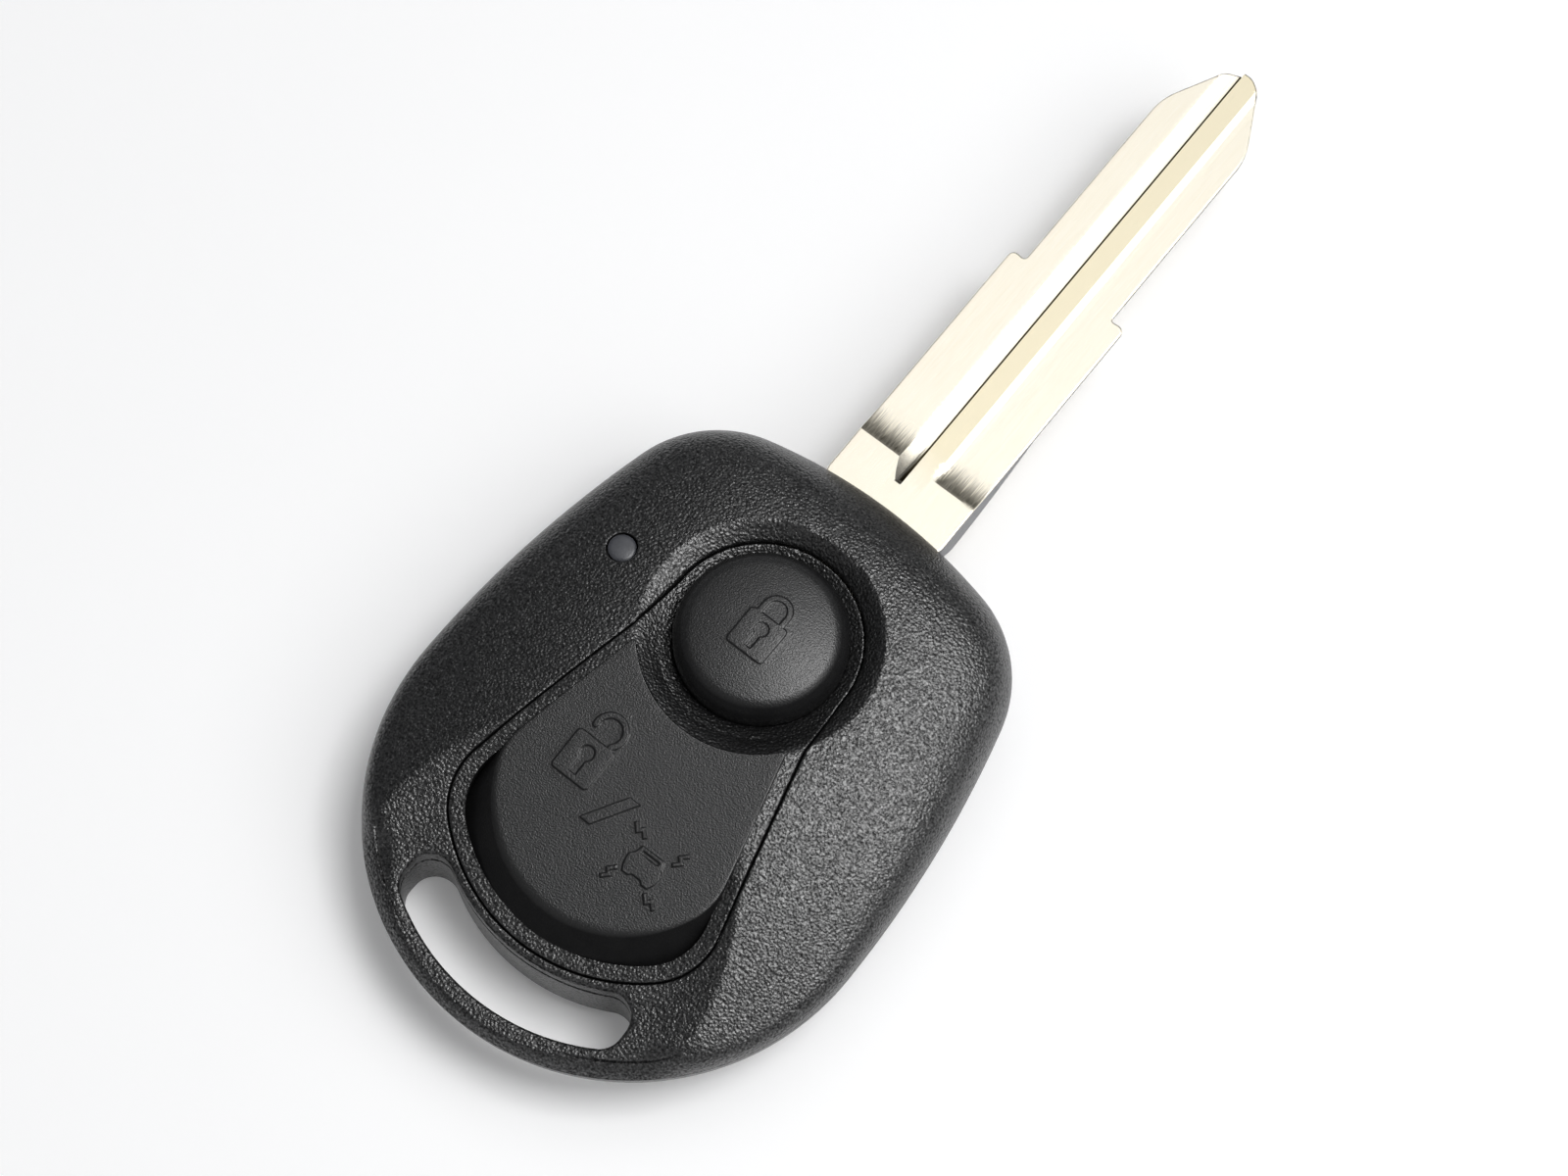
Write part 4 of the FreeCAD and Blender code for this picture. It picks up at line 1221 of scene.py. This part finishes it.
def plain_finish(name, low, high, roughness, scale, metallic=0.0):
    """A finish with fine mottling and roughness that varies with it."""
    material, shader = new_material(name)
    mottle = noise_nodes(material, scale, 3.0, 0.6)[1].outputs["Fac"]
    set_inputs(material, shader, {
        "Base Color": ramp(material, mottle, low, high),
        "Roughness": value_range(material, mottle, roughness - 0.06, roughness + 0.08),
        "Normal": add_bump(material, mottle, 0.00001),
        "Metallic": metallic})
    return material


smoked_lens = plain_finish("smoked_lens", (0.045, 0.047, 0.054), (0.06, 0.063, 0.072), 0.32, 1500.0)
lens_face_z = float(head_top_z(*np.array(lens_place))) - lens_sink
lens_side_z = lens_face_z - lens_bulge - lens_corner
lens_flange_z = lens_face_z - lens_length
lens_shares = (0.15, 0.35, 0.55, 0.75, 0.9)
lens_profile = [(lens_radius * s, lens_face_z - lens_bulge * s * s) for s in lens_shares]
lens_profile += [(lens_radius, lens_side_z), (lens_radius, lens_flange_z),
                 (lens_flange_radius, lens_flange_z),
                 (lens_flange_radius, lens_flange_z - lens_flange_height)]
lens_piece = turned_body("led_lens_window", lens_place, lens_profile, 40, smoked_lens)
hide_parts("led_lens")
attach(lens_piece, "root")

# Inside the head. The parts that the two shells close in: board, switches, cell and their
# contacts, radio parts, transponder, screws and pin, each in its own plain finish.


def dress(node, material):
    """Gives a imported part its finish."""
    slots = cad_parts[node].data.materials
    slots.clear()
    slots.append(material)


bright_steel = plain_finish("bright_steel", (0.5, 0.5, 0.51), (0.62, 0.62, 0.63), 0.3, 1500.0, 1.0)
black_steel = plain_finish("black_zinc", (0.05, 0.05, 0.052), (0.09, 0.09, 0.092), 0.4, 1500.0, 1.0)
green_board = plain_finish("green_board", (0.015, 0.12, 0.04), (0.025, 0.18, 0.07), 0.35, 900.0)
moulded_black = plain_finish("moulded_black", (0.02, 0.02, 0.02), (0.035, 0.035, 0.035), 0.5, 2500.0)
fired_ceramic = plain_finish("fired_ceramic", (0.38, 0.28, 0.16), (0.5, 0.38, 0.24), 0.5, 2500.0)
etched_copper = plain_finish("etched_copper", (0.72, 0.38, 0.2), (0.85, 0.5, 0.28), 0.35, 2500.0, 1.0)
clear_amber = plain_finish("clear_amber", (0.7, 0.64, 0.35), (0.8, 0.75, 0.5), 0.25, 2500.0)
finishes = {
    "blade_pin": bright_steel, "circuit_board": green_board,
    "switch_bases": moulded_black, "switch_lids": bright_steel, "snap_discs": bright_steel,
    "lock_switch_plunger": moulded_black, "unlock_switch_plunger": moulded_black,
    "led_chip": clear_amber, "remote_chip": moulded_black, "saw_resonator": bright_steel,
    "quartz_crystal": bright_steel, "chip_capacitors": fired_ceramic,
    "chip_resistors": moulded_black, "antenna_trace": etched_copper, "coin_cell": bright_steel,
    "battery_contact_positive": bright_steel, "battery_contact_negative": bright_steel,
    "transponder_chip": moulded_black, "case_screws": black_steel,
}
for node, finish in finishes.items():
    dress(node, finish)

# Studio. A pale table and square soft boxes: two strong ones high on the right, a broad one
# overhead and two weak ones in front. The camera is where the photograph was taken from.
camera_turn = math.radians(51.6)
camera_tilt = math.radians(19.5)
camera_distance = 310.0
camera_shift = (7.57, 6.13)
camera_focal = 96.75
right = Vector((math.sin(camera_turn), math.cos(camera_turn), 0))
level = Vector((-math.cos(camera_turn), math.sin(camera_turn), 0))
back = Vector((0, 0, 1)) * math.cos(camera_tilt) - level * math.sin(camera_tilt)
up = level * math.cos(camera_tilt) + Vector((0, 0, 1)) * math.sin(camera_tilt)
place = back * camera_distance - right * camera_shift[0] - up * camera_shift[1]
place = (place + Vector((0, front_y, blade_top_z))) * mm
camera_data = bpy.data.cameras.new("camera")
camera_data.lens = camera_focal
camera_data.sensor_width = 36.0
camera_data.clip_start = 0.01
camera = bpy.data.objects.new("camera", camera_data)
camera.matrix_world = Matrix.Translation(place) @ Matrix((right, up, back)).transposed().to_4x4()
bpy.context.scene.collection.objects.link(camera)
bpy.context.scene.camera = camera


def soft_light(name, direction, distance, size, power):
    """Square soft box that faces the key; direction is right, up in the picture, and height."""
    away = right * direction[0] + level * direction[1] + Vector((0, 0, direction[2]))
    away.normalize()
    data = bpy.data.lights.new(name, "AREA")
    data.shape = "SQUARE"
    data.size = size
    data.energy = power
    lamp = bpy.data.objects.new(name, data)
    lamp.location = away * distance
    lamp.rotation_euler = away.to_track_quat("Z", "Y").to_euler()
    bpy.context.scene.collection.objects.link(lamp)


soft_light("key_light", (0.6, -0.2, 0.7), 0.6, 0.42, 1.05)
soft_light("sheen_light", (0.32, -0.03, 0.94), 0.6, 0.24, 1.6)
soft_light("top_light", (0.14, 0.27, 0.9), 0.7, 0.6, 1.12)
soft_light("front_light", (0.35, -0.65, 0.6), 0.6, 0.4, 0.25)
soft_light("side_light", (-0.55, -0.7, 0.42), 0.6, 0.6, 0.36)
world = bpy.data.worlds.new("studio")
world.use_nodes = True
sky_place = add_node(world, "TexCoord", {})
sky_parts = add_node(world, "SeparateXYZ", {"Vector": sky_place.outputs["Generated"]})
set_inputs(world, world.node_tree.nodes["Background"], {
    "Color": (0.95, 0.97, 1.0, 1),
    "Strength": value_range(world, sky_parts.outputs["Z"], 0.3, 0.08, 0.1, 0.5)})
bpy.context.scene.world = world

table_half = 1.5
table_low = (0.93, 0.93, 0.935)
table_high = (0.94, 0.94, 0.945)
table_glow = 0.13
table_corners = [(x * table_half, y * table_half, 0) for x, y in ((-1, -1), (1, -1), (1, 1), (-1, 1))]
floor_mesh = bpy.data.meshes.new("table")
floor_mesh.from_pydata(table_corners, [], [(0, 1, 2, 3)])
floor_material, floor_shader = new_material("pale_table")
floor_noise = noise_nodes(floor_material, 30.0)[1].outputs["Fac"]
ray = add_node(floor_material, "LightPath", {}).outputs
seen = combine(floor_material, "MAXIMUM", ray["Is Camera Ray"], ray["Is Glossy Ray"])
set_inputs(floor_material, floor_shader, {
    "Base Color": ramp(floor_material, floor_noise, table_low, table_high),
    "Roughness": 0.7,
    "Emission Color": (1.0, 1.0, 1.0, 1),
    "Emission Strength": combine(floor_material, "MULTIPLY", seen, table_glow)})
floor_mesh.materials.append(floor_material)
floor = bpy.data.objects.new("table", floor_mesh)
bpy.context.scene.collection.objects.link(floor)
bpy.context.scene.view_settings.view_transform = "Standard"
